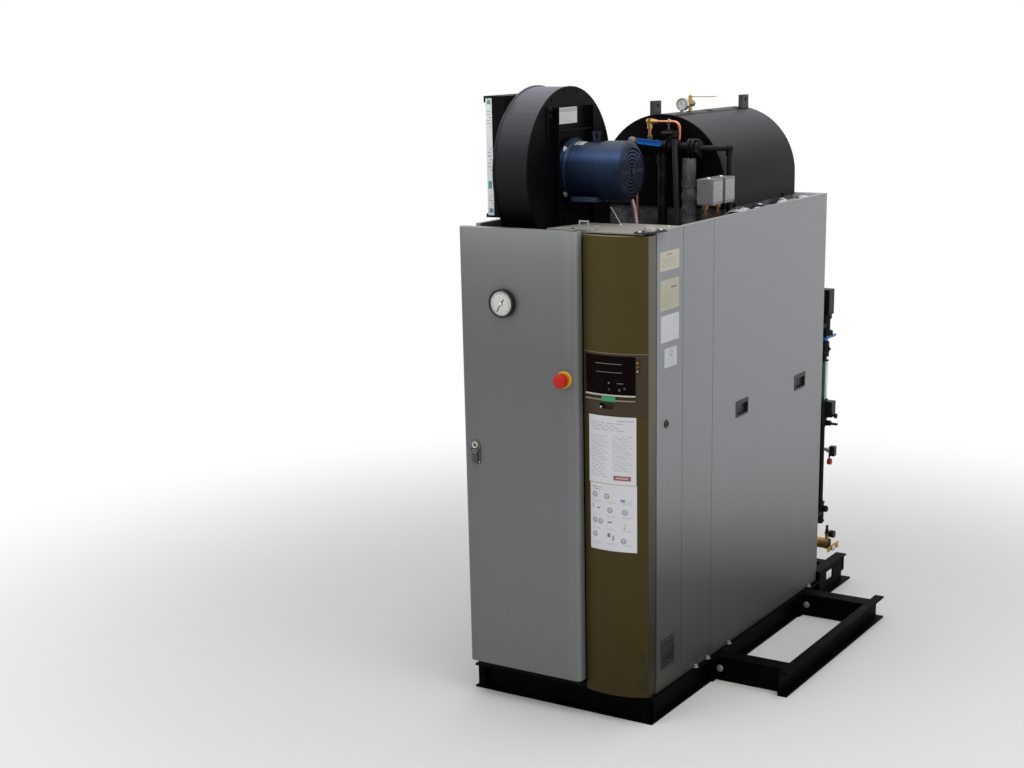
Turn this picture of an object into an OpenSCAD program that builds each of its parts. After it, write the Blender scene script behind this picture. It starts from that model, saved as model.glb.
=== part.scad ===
// Packaged steam boiler in a sheet-metal cabinet on a steel skid.
// Millimetres. +X is the cabinet's right as seen from its door, +Y runs to the back, +Z is up.
// The origin lies on the floor, under the middle of the cabinet.

/* [Cabinet] */

// Width of the cabinet over its side panels
cabinet_width = 768; // [680:1:900]
// Distance from the door's face to the cabinet's back
cabinet_depth = 1690; // [1500:1:2200]
// Height of the cabinet's top edge above the floor
cabinet_top = 1850; // [1700:1:2000]
// Thickness of the folded side panels
panel_thickness = 20; // [12:1:30]
// Thickness of the sheet metal
sheet = 3; // [1.5:0.5:5]
// Depth of the top deck below the panels' top edges
deck_drop = 80; // [60:1:110]
// Thickness of the top deck with its insulation
deck_thickness = 15; // [8:1:30]
// Height of the base rail that the side panels stand on
base_rail_height = 44; // [30:1:80]
// Gap between neighbouring side panels
panel_gap = 3; // [2:0.5:8]
// Distance of the side strip's front edge behind the door's face
strip_setback = 126; // [110:1:160]
// Width of the side strip
strip_width = 205; // [150:1:260]
// Width of the narrow side panel
narrow_width = 256; // [150:1:350]
// Width of a recessed pull in the side panels
pull_width = 116; // [80:1:160]
// Height of a recessed pull in the side panels
pull_height = 66; // [60:1:120]
// Centre of the recessed pulls above the floor
pull_z = 1073; // [800:1:1300]

/* [Skid] */

// Height of the skid's beams
beam_height = 100; // [80:1:130]
// Width of the skid's beams
beam_width = 50; // [40:1:70]
// Thickness of the beams' flanges
flange_thickness = 8; // [5:0.5:12]
// Thickness of the beams' webs
web_thickness = 6; // [4:0.5:10]
// Width of the skid over its two rails
skid_width = 800; // [780:1:1000]
// Distance of the skid's front edge behind the door's face
skid_setback = 60; // [40:1:75]
// How far the skid's rails reach behind the cabinet
skid_tail = 385; // [250:1:500]
// Height of the deeper beams behind the cabinet
tail_height = 140; // [130:1:180]
// How far the bolted side frame reaches from the cabinet's middle
outrigger_reach = 732; // [600:1:900]
// Distance of the side frame's front arm behind the door's face
outrigger_setback = 600; // [400:1:700]
// Distance between the webs of the side frame's two arms
outrigger_pitch = 885; // [500:1:900]
// Width of the side frame's arms
arm_width = 75; // [50:1:90]
// Width of the side frame's outer channel
channel_width = 40; // [30:1:60]

/* [Door] */

// Place of the door's right edge
door_right = 123; // [90:1:123]
// Thickness of the door
door_thickness = 43; // [36:1:43]
// Radius of the door's upright front edges
door_edge_radius = 22; // [14:1:22]
// Height of the door's lower edge
door_bottom = 141; // [130:1:160]
// Radius of the pins in the door's hinges
door_pin_radius = 5.8; // [4:0.1:7]
// Centre of the door's pressure gauge across the door
gauge_x = -187; // [-300:1:-20]
// Centre of the door's pressure gauge above the floor
gauge_z = 1578; // [1450:1:1700]
// Radius of the gauge's rim
gauge_radius = 53; // [30:1:80]
// Depth of the gauge in front of the door
gauge_depth = 24; // [16:1:40]
// Centre of the stop button across the door
stop_x = 71; // [-50:1:75]
// Centre of the stop button above the floor
stop_z = 1314; // [1150:1:1400]
// Radius of the stop button's collar
stop_collar_radius = 31; // [24:1:40]
// Radius of the stop button's head
stop_head_radius = 26; // [16:1:27]
// Travel of the stop button
stop_travel = 5; // [3:1:8]
// Centre of the door's latch across the door
latch_x = -327; // [-345:1:-200]
// Centre of the door's latch above the floor
latch_z = 999; // [800:1:1200]
// Width of the latch plate
latch_width = 40; // [30:1:50]

/* [Control column] */

// Gap between the door and the curved cover
cover_gap = 7; // [5:1:12]
// Distance of the cover's right front corner behind the door's face
cover_setback = 63; // [50:1:75]
// How much further forward the cover's left edge lies than its right edge
cover_lead = 24; // [10:1:30]
// How far the cover bulges in front of its edges
cover_bulge = 28; // [10:1:40]
// Height of the cover's lower edge
cover_bottom = 107; // [105:1:125]
// Distance of the cover's top below the cabinet's top edge
cover_drop = 10; // [8:1:20]
// Height of the upper seam in the cover
seam_upper_z = 1422; // [1380:1:1500]
// Height of the lower seam in the cover
seam_lower_z = 1192; // [1100:1:1210]
// Distance from the cover's left edge to the operator's screen
screen_left_margin = 14; // [10:1:30]
// Distance from the operator's screen to the cover's right edge
screen_right_margin = 42; // [30:1:60]
// Height of the operator's screen
screen_height = 142; // [100:1:142]
// Centre of the operator's screen above the floor
screen_z = 1342; // [1340:1:1350]
// Length of the recessed handle under the screen
handle_length = 60; // [40:1:80]
// Height of the recessed handle under the screen
handle_height = 22; // [16:1:24]
// Centre of the recessed handle above the floor
handle_z = 1228; // [1220:1:1232]

/* [Blower] */

// Distance of the fan housing's centre behind the door's face
blower_setback = 356; // [330:1:420]
// Height of the fan housing's centre above the cabinet's top
blower_rise = 186; // [150:1:220]
// Radius of the fan housing
blower_radius = 305; // [250:1:320]
// Place of the fan housing's motor side
blower_face_x = -105; // [-130:1:-90]
// Width of the fan housing
blower_width = 148; // [110:1:180]
// Width of the motor frame's upright bars
frame_bar_width = 60; // [35:1:70]
// Width of the motor frame over its upright bars
frame_width = 342; // [320:1:400]
// Height of the motor frame above the cabinet's top
frame_rise = 420; // [400:1:480]
// Radius of the motor's body
motor_radius = 104; // [80:1:110]
// Length of the motor with its fan cover
motor_length = 251; // [220:1:300]
// Number of spokes in the fan cover's grille
grille_spokes = 4; // [3:1:8]
// Number of slot rings in the fan cover's grille
grille_rings = 6; // [3:1:6]
// Height of the filter box's top above the cabinet's top
filter_rise = 465; // [430:1:500]
// Height of the filter box's bottom above the cabinet's top
filter_lift = 22; // [10:1:60]
// Depth of the filter box beside the fan housing
filter_box_depth = 55; // [40:1:80]
// Width of the filter box
filter_box_width = 443; // [400:1:470]
// Thickness of the air filter
filter_thickness = 30; // [20:1:50]

/* [Barrel] */

// Radius of the barrel
barrel_radius = 276; // [230:1:300]
// Height of the barrel's centre above the cabinet's top
barrel_rise = 90; // [60:1:120]
// Length of the barrel
barrel_length = 693; // [600:1:720]
// Distance of the barrel's back face in front of the cabinet's back
barrel_inset = 100; // [60:1:120]
// Height of the lifting lugs above the barrel
lug_rise = 50; // [40:1:80]
// Length of the lifting lugs along the barrel
lug_length = 58; // [40:1:60]
// Thickness of the lifting lugs
lug_thickness = 20; // [12:1:25]
// Radius of the holes in the lifting lugs
lug_hole_radius = 9; // [6:0.5:11]

/* [Pipes] */

// Height of the level pipe above the cabinet's top
manifold_rise = 240; // [220:1:260]
// Distance of the level pipe in front of the barrel
manifold_gap = 57; // [50:1:70]
// Radius of the level pipe
manifold_radius = 22; // [16:1:24]
// Width of the pressure switches' boxes
switch_width = 68; // [50:1:80]
// Radius of the copper tubes
copper_radius = 6; // [4:0.5:8]
// Distance of the rear pipe stack behind the cabinet
stack_gap = 105; // [90:1:130]
// Distance of the rear pipe stack from the cabinet's middle
stack_x = 350; // [250:1:355]
// Radius of the rear stack's main pipe
pipe_radius = 12; // [8:1:14]
// Height of the rear stack's top
stack_top = 1420; // [1380:1:1480]
// Height of the square fitting at the rear stack's top
stack_head = 111; // [90:1:130]
// Height of the safety valve in the middle of the rear stack
middle_valve_z = 840; // [800:1:880]
// Height of the small test valve on the rear stack
test_valve_z = 690; // [640:1:720]
// Height of the tee at the lower end of the rear stack
lower_tee_z = 397; // [380:1:420]
// Height of the rear stack's upper lever
upper_lever_z = 1198; // [1150:1:1204]
// Height of the blowdown valve at the bottom of the rear stack
blowdown_z = 245; // [235:1:260]

/* [Hidden] */

// Clearance between a piece and what it seats on
seat = 0.1;
// Clearance of a pin in its hole
running = 0.2;

// Cabinet
half_width = cabinet_width / 2;
inner_width = half_width - panel_thickness;
front = -cabinet_depth / 2;
back = cabinet_depth / 2;
deck_z = cabinet_top - deck_drop;
head_z = cabinet_top - 26;
head_bar = 29;
panel_bottom = beam_height + base_rail_height;
strip_front = front + strip_setback;
seam_one = strip_front + strip_width;
seam_two = seam_one + narrow_width;
wide_depth = back - seam_two;
pull_places = [seam_two + 0.245 * wide_depth, seam_two + 0.773 * wide_depth];
pull_depth = 14;
pull_wall = 3;

// Skid
half_skid = skid_width / 2;
skid_front = front + skid_setback;
skid_back = back + skid_tail;
outrigger_front = front + outrigger_setback;
outrigger_rear = outrigger_front + outrigger_pitch;
outrigger_inner = outrigger_reach - channel_width;
channel_overhang = 40;

// Door
door_left = -half_width;
door_axis_x = door_right - door_edge_radius;
door_axis_y = front + door_edge_radius;
door_back = front + door_thickness;
frame_front = front + skid_setback;
stop_stem_radius = 10;
stop_bore_radius = stop_stem_radius + running;

// Control column
cover_left = door_right + cover_gap;
cover_corner_y = front + cover_setback;
cover_top = cabinet_top - cover_drop;
cover_axis_x = half_width - 10;
cover_axis_y = cover_corner_y + 25;
cover_return_end = cover_axis_y + 30;
column_front = front + 107;
plate_front = front + 52;
cover_pin_radius = 5;
cover_left_y = cover_corner_y - cover_lead;
cover_chord = norm([half_width - cover_left, cover_lead]);
cover_radius = (cover_chord * cover_chord / 4 + cover_bulge * cover_bulge) / (2 * cover_bulge);
cover_depth = (cover_radius - cover_bulge) / cover_chord;
cover_centre_x = (half_width + cover_left) / 2 - cover_depth * cover_lead;
cover_centre_y = (cover_corner_y + cover_left_y) / 2 + cover_depth * (half_width - cover_left);
cover_front = cover_centre_y - cover_radius;
screen_left = cover_left + screen_left_margin;
screen_right = half_width - screen_right_margin;
handle_x = (screen_left + screen_right) / 2 - 10;

// Blower
blower_y = front + blower_setback;
blower_z = cabinet_top + blower_rise;
blower_far_x = blower_face_x - blower_width;
motor_x = blower_face_x + 12;
motor_end_x = motor_x + motor_length;
fan_cover_x = motor_end_x - 102;
fan_cover_radius = motor_radius + 7;
frame_half = frame_width / 2;
filter_low = cabinet_top + filter_lift;
filter_top = cabinet_top + filter_rise;
filter_front = blower_y + 2 - filter_box_width / 2;
filter_rear = filter_front + filter_box_width;
filter_lip = 7;
frame_top = cabinet_top + frame_rise;

// Barrel
barrel_z = cabinet_top + barrel_rise;
barrel_top = barrel_z + barrel_radius;
barrel_back = back - barrel_inset;
barrel_front = barrel_back - barrel_length;
barrel_low = cabinet_top + 2;
lug_top = barrel_top + lug_rise;
lug_front = [-45, barrel_front + 2];
lug_rear = [48, barrel_back - 66];
gauge_y = barrel_front + 173;
drum_valve_y = gauge_y + 75;
drum_valve_z = barrel_top + 30;
drum_lever_z = drum_valve_z + 27;

// Pipes in front of the barrel
manifold_z = cabinet_top + manifold_rise;
manifold_y = barrel_front - manifold_gap;
drop_pipe_x = barrel_radius + 14;
gas_valve_x = -80;
tee_x = -23;
riser_x = 150;
bleed_x = 60;
copper_z = manifold_z + 99;
hose_x = 108;
hose_y = manifold_y - 42;
flange_radius = 38;
gas_lever_z = manifold_z + 28;
gas_lever_y = manifold_y - 36;
stem_radius = 7;

// Pipes behind the cabinet
stack_y = back + stack_gap;

black = [0.09, 0.09, 0.10];
grey = [0.72, 0.73, 0.72];
steel = [0.62, 0.63, 0.65];
silver = [0.80, 0.80, 0.80];
bronze = [0.36, 0.32, 0.19];
beige = [0.78, 0.74, 0.62];
brass = [0.72, 0.55, 0.25];
navy = [0.10, 0.17, 0.33];
blue = [0.10, 0.30, 0.75];
yellow = [0.85, 0.70, 0.10];
red = [0.70, 0.08, 0.06];
copper = [0.72, 0.42, 0.25];

/* Helpers */

module block(x0, x1, y0, y1, z0, z1) {
  translate([x0, y0, z0]) cube([x1 - x0, y1 - y0, z1 - z0]);
}

module rod_x(x0, x1, y, z, r) {
  translate([x0, y, z]) rotate([0, 90, 0]) cylinder(h = x1 - x0, r = r, $fn = 64);
}

module rod_y(x, y0, y1, z, r) {
  translate([x, y0, z]) rotate([-90, 0, 0]) cylinder(h = y1 - y0, r = r, $fn = 64);
}

module rod_z(x, y, z0, z1, r) {
  translate([x, y, z0]) cylinder(h = z1 - z0, r = r, $fn = 64);
}

// Six-sided nut or fitting body along X
module hex_x(x0, x1, y, z, r) {
  translate([x0, y, z]) rotate([0, 90, 0]) cylinder(h = x1 - x0, r = r, $fn = 6);
}

// Six-sided nut or fitting body along Z
module hex_z(x, y, z0, z1, r) {
  translate([x, y, z0]) cylinder(h = z1 - z0, r = r, $fn = 6);
}

// Straight tube from one point to another
module tube_between(a, b, r) {
  run = b - a;
  flat = sqrt(run[0] * run[0] + run[1] * run[1]);
  translate(a) rotate([0, atan2(flat, run[2]), atan2(run[1], run[0])]) {
    cylinder(h = norm(run), r = r, $fn = 48);
  }
}

// Quarter bend in the XZ plane: starts level at `from`, turns down (or up) with radius `bend`
module bend_down(from, bend, r) {
  translate([from[0], from[1], from[2] - bend]) rotate([90, 0, 0]) {
    rotate_extrude(angle = 90, $fn = 64) translate([bend, 0]) circle(r = r, $fn = 48);
  }
}

// Threaded pipe coupling along X: a body with a raised bead at each end
module coupling_x(x0, x1, y, z, r) {
  rod_x(x0, x1, y, z, r);
  rod_x(x0, x0 + 8, y, z, r + 4);
  rod_x(x1 - 8, x1, y, z, r + 4);
}

// Threaded pipe coupling along Z
module coupling_z(x, y, z0, z1, r) {
  rod_z(x, y, z0, z1, r);
  rod_z(x, y, z0, z0 + 6, r + 3);
  rod_z(x, y, z1 - 6, z1, r + 3);
}

module beam_along_y(x, y0, y1, height) {
  block(x - beam_width / 2, x + beam_width / 2, y0, y1, 0, flange_thickness);
  block(x - beam_width / 2, x + beam_width / 2, y0, y1, height - flange_thickness, height);
  block(x - web_thickness / 2, x + web_thickness / 2, y0, y1, 0, height);
}

module beam_along_x(y, x0, x1, height) {
  block(x0, x1, y - beam_width / 2, y + beam_width / 2, 0, flange_thickness);
  block(x0, x1, y - beam_width / 2, y + beam_width / 2, height - flange_thickness, height);
  block(x0, x1, y - web_thickness / 2, y + web_thickness / 2, 0, height);
}

/* Skid */

// Distance from the cabinet's back to the deeper beam, and to where its web ends
tail_start = 5;
tail_web_end = skid_tail - 60;

module skid_rail(x) {
  web_end = back + tail_web_end;
  difference() {
    union() {
      beam_along_y(x, skid_front + beam_width, back + tail_start, beam_height);
      block(x - beam_width / 2, x + beam_width / 2, back + tail_start - 1, skid_back, 0, flange_thickness);
      block(x - beam_width / 2, x + beam_width / 2, back + tail_start, web_end,
        tail_height - flange_thickness, tail_height);
      block(x - web_thickness / 2, x + web_thickness / 2, back + tail_start - 1, web_end, 0, tail_height);
      // Stiffener at the step in the web
      block(x - beam_width / 2, x + beam_width / 2, back + tail_start, back + tail_start + 6,
        0, tail_height);
      // Slotted pulling eye at the end of the web
      block(x - web_thickness / 2, x + web_thickness / 2, web_end - 1, web_end + 30, 50, tail_height - 14);
    }
    // Window in the web and slot in the pulling eye
    block(x - beam_width, x + beam_width, back + 140, back + 215, 55, 98);
    block(x - beam_width, x + beam_width, web_end + 6, web_end + 18, 62, tail_height - 26);
  }
}

module skid_rail_left() {
  color(black) skid_rail(-half_skid + beam_width / 2);
}

module skid_rail_right() {
  color(black) skid_rail(half_skid - beam_width / 2);
}

module skid_cross_members() {
  inner = half_skid - beam_width;
  front_y = skid_front + beam_width / 2;
  color(black) {
    difference() {
      union() {
        beam_along_x(front_y, -half_skid, half_skid, beam_height);
        // Bolting tabs at the ends of the front beam
        for (s = [-1, 1]) {
          block(s * (half_skid - 32) - 14, s * (half_skid - 32) + 14,
            skid_front, front_y, flange_thickness - 1, beam_height - flange_thickness + 1);
        }
      }
      for (s = [-1, 1]) rod_y(s * (half_skid - 32), skid_front - 1, front_y + beam_width, 62, 7);
    }
    beam_along_x(0, -inner, inner, beam_height);
    beam_along_x(back - beam_width / 2, -inner, inner, beam_height);
    beam_along_x(back + 165, -inner, inner, tail_height);
  }
}

module outrigger_channel() {
  inner = outrigger_inner;
  y0 = outrigger_front - channel_overhang;
  y1 = outrigger_rear + channel_overhang + arm_width + 25;
  color(black) {
    block(inner, outrigger_reach, y0, y1, 0, flange_thickness);
    block(inner, outrigger_reach, y0, y1, beam_height - flange_thickness, beam_height);
    block(inner, inner + web_thickness, y0, y1, 0, beam_height);
  }
}

module outrigger_arm(y) {
  block(half_skid, outrigger_inner, y, y + arm_width, 0, flange_thickness);
  block(half_skid, outrigger_inner, y, y + arm_width, beam_height - flange_thickness, beam_height);
  block(half_skid, outrigger_inner, y, y + web_thickness, 0, beam_height);
  // End plate against the rail, with a tab in front for its bolt
  block(half_skid, half_skid + 8, y - 32, y + arm_width, 0, beam_height);
}

module outrigger_arms() {
  color(black) {
    outrigger_arm(outrigger_front);
    outrigger_arm(outrigger_rear);
  }
}

/* Cabinet */

base_rail_width = 40;

module base_frame() {
  color(grey) difference() {
    block(-half_width + 2, half_width - 2, strip_front, back, beam_height, panel_bottom);
    block(-half_width + base_rail_width, half_width - base_rail_width,
      strip_front + base_rail_width, back - base_rail_width, beam_height - 1, panel_bottom + 1);
    // Joint in each side rail
    for (s = [-1, 1]) {
      block(s * half_width - 4, s * half_width + 4, seam_two - 1, seam_two + 1,
        beam_height - 1, panel_bottom + 1);
    }
  }
}

frame_stile = 34;

module front_frame() {
  arm_half = 18;
  color(black) {
    difference() {
      block(door_left, door_right, frame_front, strip_front, beam_height, head_z);
      // Way in behind the door
      block(door_left + frame_stile, door_right - frame_stile, frame_front - 1, strip_front + 1,
        door_bottom + 20, head_z - head_bar);
      // Room for the door's lower edge
      block(door_left - 1, door_right + 1, frame_front - 1, frame_front + 20,
        door_bottom - 5, door_bottom + 5);
    }
    // Lower arm and pin of the door's hinge
    block(door_axis_x - arm_half, door_axis_x + arm_half, door_axis_y - 12, frame_front + 1,
      door_bottom - 13, door_bottom - 5);
    rod_z(door_axis_x, door_axis_y, door_bottom - 6, door_bottom + 18, door_pin_radius);
  }
}

// Outside skin of a right-hand side panel with its edges folded in
module side_panel(y0, y1) {
  block(half_width - panel_thickness, half_width, y0, y1, panel_bottom, cabinet_top);
}

vent = [37, 145, 182, 302];

module side_strip() {
  color(grey) difference() {
    side_panel(strip_front, seam_one - panel_gap / 2);
    block(half_width - 12, half_width + 1, strip_front + vent[0], strip_front + vent[1], vent[2], vent[3]);
    rod_x(half_width - 10, half_width + 1, strip_front + 72, 1141, 15);
  }
}

module narrow_panel() {
  color(grey) side_panel(seam_one + panel_gap / 2, seam_two - panel_gap / 2);
}

module pull_pocket(y) {
  block(half_width - pull_depth, half_width + 1, y - pull_width / 2, y + pull_width / 2,
    pull_z - pull_height / 2, pull_z + pull_height / 2);
}

module wide_panel() {
  color(grey) difference() {
    side_panel(seam_two + panel_gap / 2, back);
    for (y = pull_places) pull_pocket(y);
  }
}

// Cup of a pull: a rounded frame with a hooded lip along its top
module pull(y) {
  half = pull_width / 2;
  low = pull_z - pull_height / 2;
  high = pull_z + pull_height / 2;
  lip = 2;
  difference() {
    block(half_width - pull_depth, half_width + lip, y - half, y + half, low, high);
    block(half_width - pull_depth + pull_wall, half_width + lip + 1, y - half + 8, y + half - 8,
      low + 8, high - 8);
    // Rounded outer corners of the lip
    for (s = [-1, 1]) {
      difference() {
        block(half_width + 0.2, half_width + lip + 1, y + s * (half - 6) - 7, y + s * (half - 6) + 7,
          low - 1, low + 13);
        rod_x(half_width, half_width + lip + 2, y + s * (half - 13), low + 13, 13);
        block(half_width, half_width + lip + 2, y - half + 13, y + half - 13, low - 2, low + 14);
      }
    }
  }
  block(half_width - pull_depth + pull_wall, half_width + lip, y - half + 8, y + half - 8,
    pull_z + pull_height / 4, high - 8);
}

module vent_insert() {
  y0 = strip_front + vent[0] + seat;
  y1 = strip_front + vent[1] - seat;
  x0 = half_width - 12 + seat;
  difference() {
    block(x0, half_width + 2, y0, y1, vent[2] + seat, vent[3] - seat);
    for (i = [0 : 7]) {
      block(x0 + 4, half_width + 3, y0 + 8, y1 - 8, vent[2] + 12 + i * 12.5, vent[2] + 19 + i * 12.5);
    }
  }
}

module strip_lock() {
  rod_x(half_width - 10 + seat, half_width + 3, strip_front + 72, 1141, 15 - seat);
}

module panel_pulls() {
  color(black) {
    for (y = pull_places) {
      pull(y);
      mirror([1, 0, 0]) pull(y);
    }
    vent_insert();
    strip_lock();
  }
}

module left_panels() {
  color(grey) mirror([1, 0, 0]) {
    side_panel(strip_front, seam_one - panel_gap / 2);
    side_panel(seam_one + panel_gap / 2, seam_two - panel_gap / 2);
    difference() {
      side_panel(seam_two + panel_gap / 2, back);
      for (y = pull_places) pull_pocket(y);
    }
  }
}

arm_radius = 16;

module back_panel() {
  color(grey) difference() {
    block(-inner_width, inner_width, back - panel_thickness, back, panel_bottom, cabinet_top);
    // Upright joint between the two back sheets
    block(-1, 1, back - 2, back + 1, panel_bottom - 1, cabinet_top + 1);
  }
}

module top_deck() {
  color([0.2, 0.2, 0.21]) difference() {
    block(-inner_width, inner_width, strip_front, back - panel_thickness, deck_z - deck_thickness, deck_z);
    block(cover_left - 5, inner_width + 1, strip_front - 1, seam_one, deck_z - deck_thickness - 1, deck_z + 1);
  }
}

hinge_rise = 37;
hinge_plate = 4;
hinge_wire = 3.5;

module column_top() {
  plate = 5;
  arm_low = cabinet_top + 5;
  arm_top = arm_low + hinge_plate;
  bar_z = cabinet_top + hinge_rise - hinge_wire;
  legs = [door_axis_x + 7, cover_left + 13];
  y = plate_front + 5;
  color(beige) {
    block(cover_left, inner_width, plate_front, seam_one, cabinet_top - plate, cabinet_top);
    // Arm and pin of the door's upper hinge, on its foot
    block(cover_left, cover_left + 20, y - 4, y + 8, cabinet_top - 1, arm_low + 1);
    block(door_axis_x - 10, cover_left + 20, y - 7, y + 9, arm_low, arm_top);
    block(door_axis_x - 10, door_axis_x + 10, door_axis_y - 10, y + 9, arm_low, arm_top);
    rod_z(door_axis_x, door_axis_y, cabinet_top - 18, arm_top, door_pin_radius);
    // Bent wire handle on the arm
    for (x = legs) rod_z(x, y, arm_low + 1, bar_z + hinge_wire, hinge_wire);
    rod_x(legs[0], legs[1], y, bar_z, hinge_wire - 0.4);
    // Nut behind the bracket
    hex_z(cover_left + 34, y + 28, cabinet_top - 1, cabinet_top + 16, 12);
  }
}

module column_case() {
  color(grey) {
    block(cover_left - 4, cover_left - 1, column_front, seam_one, panel_bottom, cabinet_top - 5 - seat);
    block(cover_left - 1, inner_width, seam_one - 6, seam_one - 3, panel_bottom, cabinet_top - 5 - seat);
    block(cover_left - 1, inner_width, strip_front, seam_one - 6, panel_bottom, panel_bottom + 3);
    control_gear(seam_one - 9);
  }
}

// Mounting plate with rows of switchgear and cable ducts
module control_gear(y) {
  x0 = cover_left + 20;
  x1 = half_width - 45;
  block(x0, x1, y - 3, y + 3, panel_bottom + 156, cabinet_top - 70);
  for (z = [1450, 1180, 900, 620]) block(x0 + 15, x1 - 15, y - 68, y - 3, z, z + 120);
  for (z = [1620, 1360, 1080, 800, 480]) block(x0 + 10, x1 - 10, y - 48, y - 3, z, z + 35);
}

oval_length = 140;
oval_width = 58;

module cover_hinge_plate() {
  half_long = (oval_length - oval_width) / 2;
  color(black) {
    // Oval top plate with its cap
    translate([cover_axis_x - 6, cover_axis_y + 18, cabinet_top + seat]) rotate([0, 0, -18]) {
      translate([-oval_width / 2, -half_long, 0]) cube([oval_width, oval_length - oval_width, 5]);
      for (s = [-1, 1]) {
        translate([0, s * half_long, 0]) cylinder(h = 5, r = oval_width / 2, $fn = 64);
      }
      translate([0, 0, 4]) cylinder(h = 14, r = 22, $fn = 64);
      translate([0, 0, 17]) cylinder(h = 6, r = 9, $fn = 6);
    }
    rod_z(cover_axis_x, cover_axis_y, cover_top - 14, cabinet_top + 1, cover_pin_radius);
    // Lower pivot on the skid
    rod_z(cover_axis_x, cover_axis_y, beam_height, beam_height + 2, 12);
    rod_z(cover_axis_x, cover_axis_y, beam_height, cover_bottom + 12, cover_pin_radius);
  }
}

vessel_radius = 330;
vessel_low = 190;

module boiler_vessel() {
  top = deck_z - deck_thickness - 30;
  shoulder = 70;
  color([0.55, 0.56, 0.57]) translate([0, 60, 0]) {
    rotate_extrude($fn = 96) {
      difference() {
        translate([0, vessel_low]) square([vessel_radius, top - vessel_low]);
        translate([vessel_radius - shoulder, top - shoulder]) square([shoulder + 1, shoulder + 1]);
        translate([vessel_radius - shoulder, vessel_low - 1]) square([shoulder + 1, shoulder + 1]);
      }
      translate([vessel_radius - shoulder, top - shoulder]) circle(r = shoulder, $fn = 64);
      translate([vessel_radius - shoulder, vessel_low + shoulder]) circle(r = shoulder, $fn = 64);
      // Clamping bands round the jacket
      for (z = [500, 1000, 1500]) translate([vessel_radius - 5, z]) square([9, 30]);
      // Skirt that stands on the skid
      translate([0, beam_height]) square([240, vessel_low + 20 - beam_height]);
    }
  }
}

/* Door */

module door() {
  r = door_edge_radius;
  color(steel) difference() {
    union() {
      block(door_left, door_right, front + r, door_back, door_bottom, cabinet_top);
      block(door_left + r, door_right - r, front, door_back, door_bottom, cabinet_top);
      for (x = [door_left + r, door_right - r]) rod_z(x, front + r, door_bottom, cabinet_top, r);
      // Insulated pan on the door's back
      block(door_left + frame_stile + 11, door_right - frame_stile - 30, door_back - 1, frame_front + 12,
        door_bottom + 40, head_z - head_bar - 20);
    }
    rod_z(door_axis_x, door_axis_y, cabinet_top - 20, cabinet_top + 1, door_pin_radius + running);
    rod_z(door_axis_x, door_axis_y, door_bottom - 1, door_bottom + 20, door_pin_radius + running);
    rod_y(stop_x, front - 1, front + 24, stop_z, stop_bore_radius);
  }
}

module door_gauge() {
  bezel = 7;
  dial_depth = 6;
  color(black) translate([gauge_x, front, gauge_z]) rotate([90, 0, 0]) {
    rotate_extrude($fn = 96) {
      // Flange, can with a rounded rim, dial and pointer hub
      square([gauge_radius - 2, gauge_depth - dial_depth]);
      translate([gauge_radius - bezel, 0]) square([bezel, gauge_depth - bezel / 2]);
      translate([gauge_radius - bezel / 2, gauge_depth - bezel / 2]) circle(r = bezel / 2, $fn = 32);
      square([6, gauge_depth - 2]);
    }
    // Pointer
    rotate([0, 0, 150]) translate([-1.5, -8, gauge_depth - dial_depth - 1]) cube([3, gauge_radius - 8, 3]);
  }
}

module stop_collar() {
  color(yellow) translate([stop_x, front, stop_z]) rotate([90, 0, 0]) rotate_extrude($fn = 96) {
    translate([stop_bore_radius, 0]) square([stop_collar_radius - 3 - stop_bore_radius, 8]);
    translate([stop_bore_radius, 0]) square([stop_collar_radius - stop_bore_radius, 5]);
    translate([stop_collar_radius - 3, 5]) circle(r = 3, $fn = 32);
  }
}

module stop_button() {
  head_back = 8 + stop_travel + 8;
  head_length = 24;
  dome = 80;
  color(red) translate([stop_x, front, stop_z]) rotate([90, 0, 0]) {
    // Mushroom head with a domed face
    intersection() {
      translate([0, 0, head_back]) cylinder(h = head_length, r = stop_head_radius, $fn = 96);
      translate([0, 0, head_back + head_length - dome]) sphere(r = dome, $fn = 96);
    }
    translate([0, 0, head_back - 4]) cylinder(h = 5, r = stop_head_radius - 6, $fn = 96);
    translate([0, 0, -14]) cylinder(h = head_back + 15, r = stop_stem_radius, $fn = 96);
  }
}

latch_pin_z = latch_z + 7;
latch_pin_y = front - 11;

module latch_plate() {
  half = latch_width / 2;
  color(black) {
    block(latch_x - half, latch_x + half, front - 4, front, latch_z - 46, latch_z + 26);
    rod_y(latch_x, front - 4, front, latch_z + 26, half);
    // Lock cylinder in the round end
    rod_y(latch_x, front - 9, front - 3, latch_z + 26, 10);
    for (x = [latch_x - half, latch_x + half - 5]) {
      block(x, x + 5, front - 14, front, latch_pin_z - 5, latch_pin_z + 5);
    }
    rod_x(latch_x - half + 4, latch_x + half - 4, latch_pin_y, latch_pin_z, 2);
  }
}

module latch_flap() {
  half = latch_width / 2 - 8;
  color([0.5, 0.5, 0.5]) difference() {
    union() {
      block(latch_x - half, latch_x + half, front - 13, front - 9, latch_z - 42, latch_pin_z);
      rod_x(latch_x - half, latch_x + half, latch_pin_y, latch_pin_z, 4);
      // Finger lip
      block(latch_x - half, latch_x + half, front - 17, front - 9, latch_z - 45, latch_z - 41);
    }
    rod_x(latch_x - half - 1, latch_x + half + 1, latch_pin_y, latch_pin_z, 2.4);
  }
}

/* Control column's cover */

module cover_curve(r, z0, z1) {
  intersection() {
    rod_z(cover_centre_x, cover_centre_y, z0, z1, r);
    block(cover_left, half_width, cover_front - 5, cover_axis_y + 7, z0, z1);
  }
}

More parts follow.
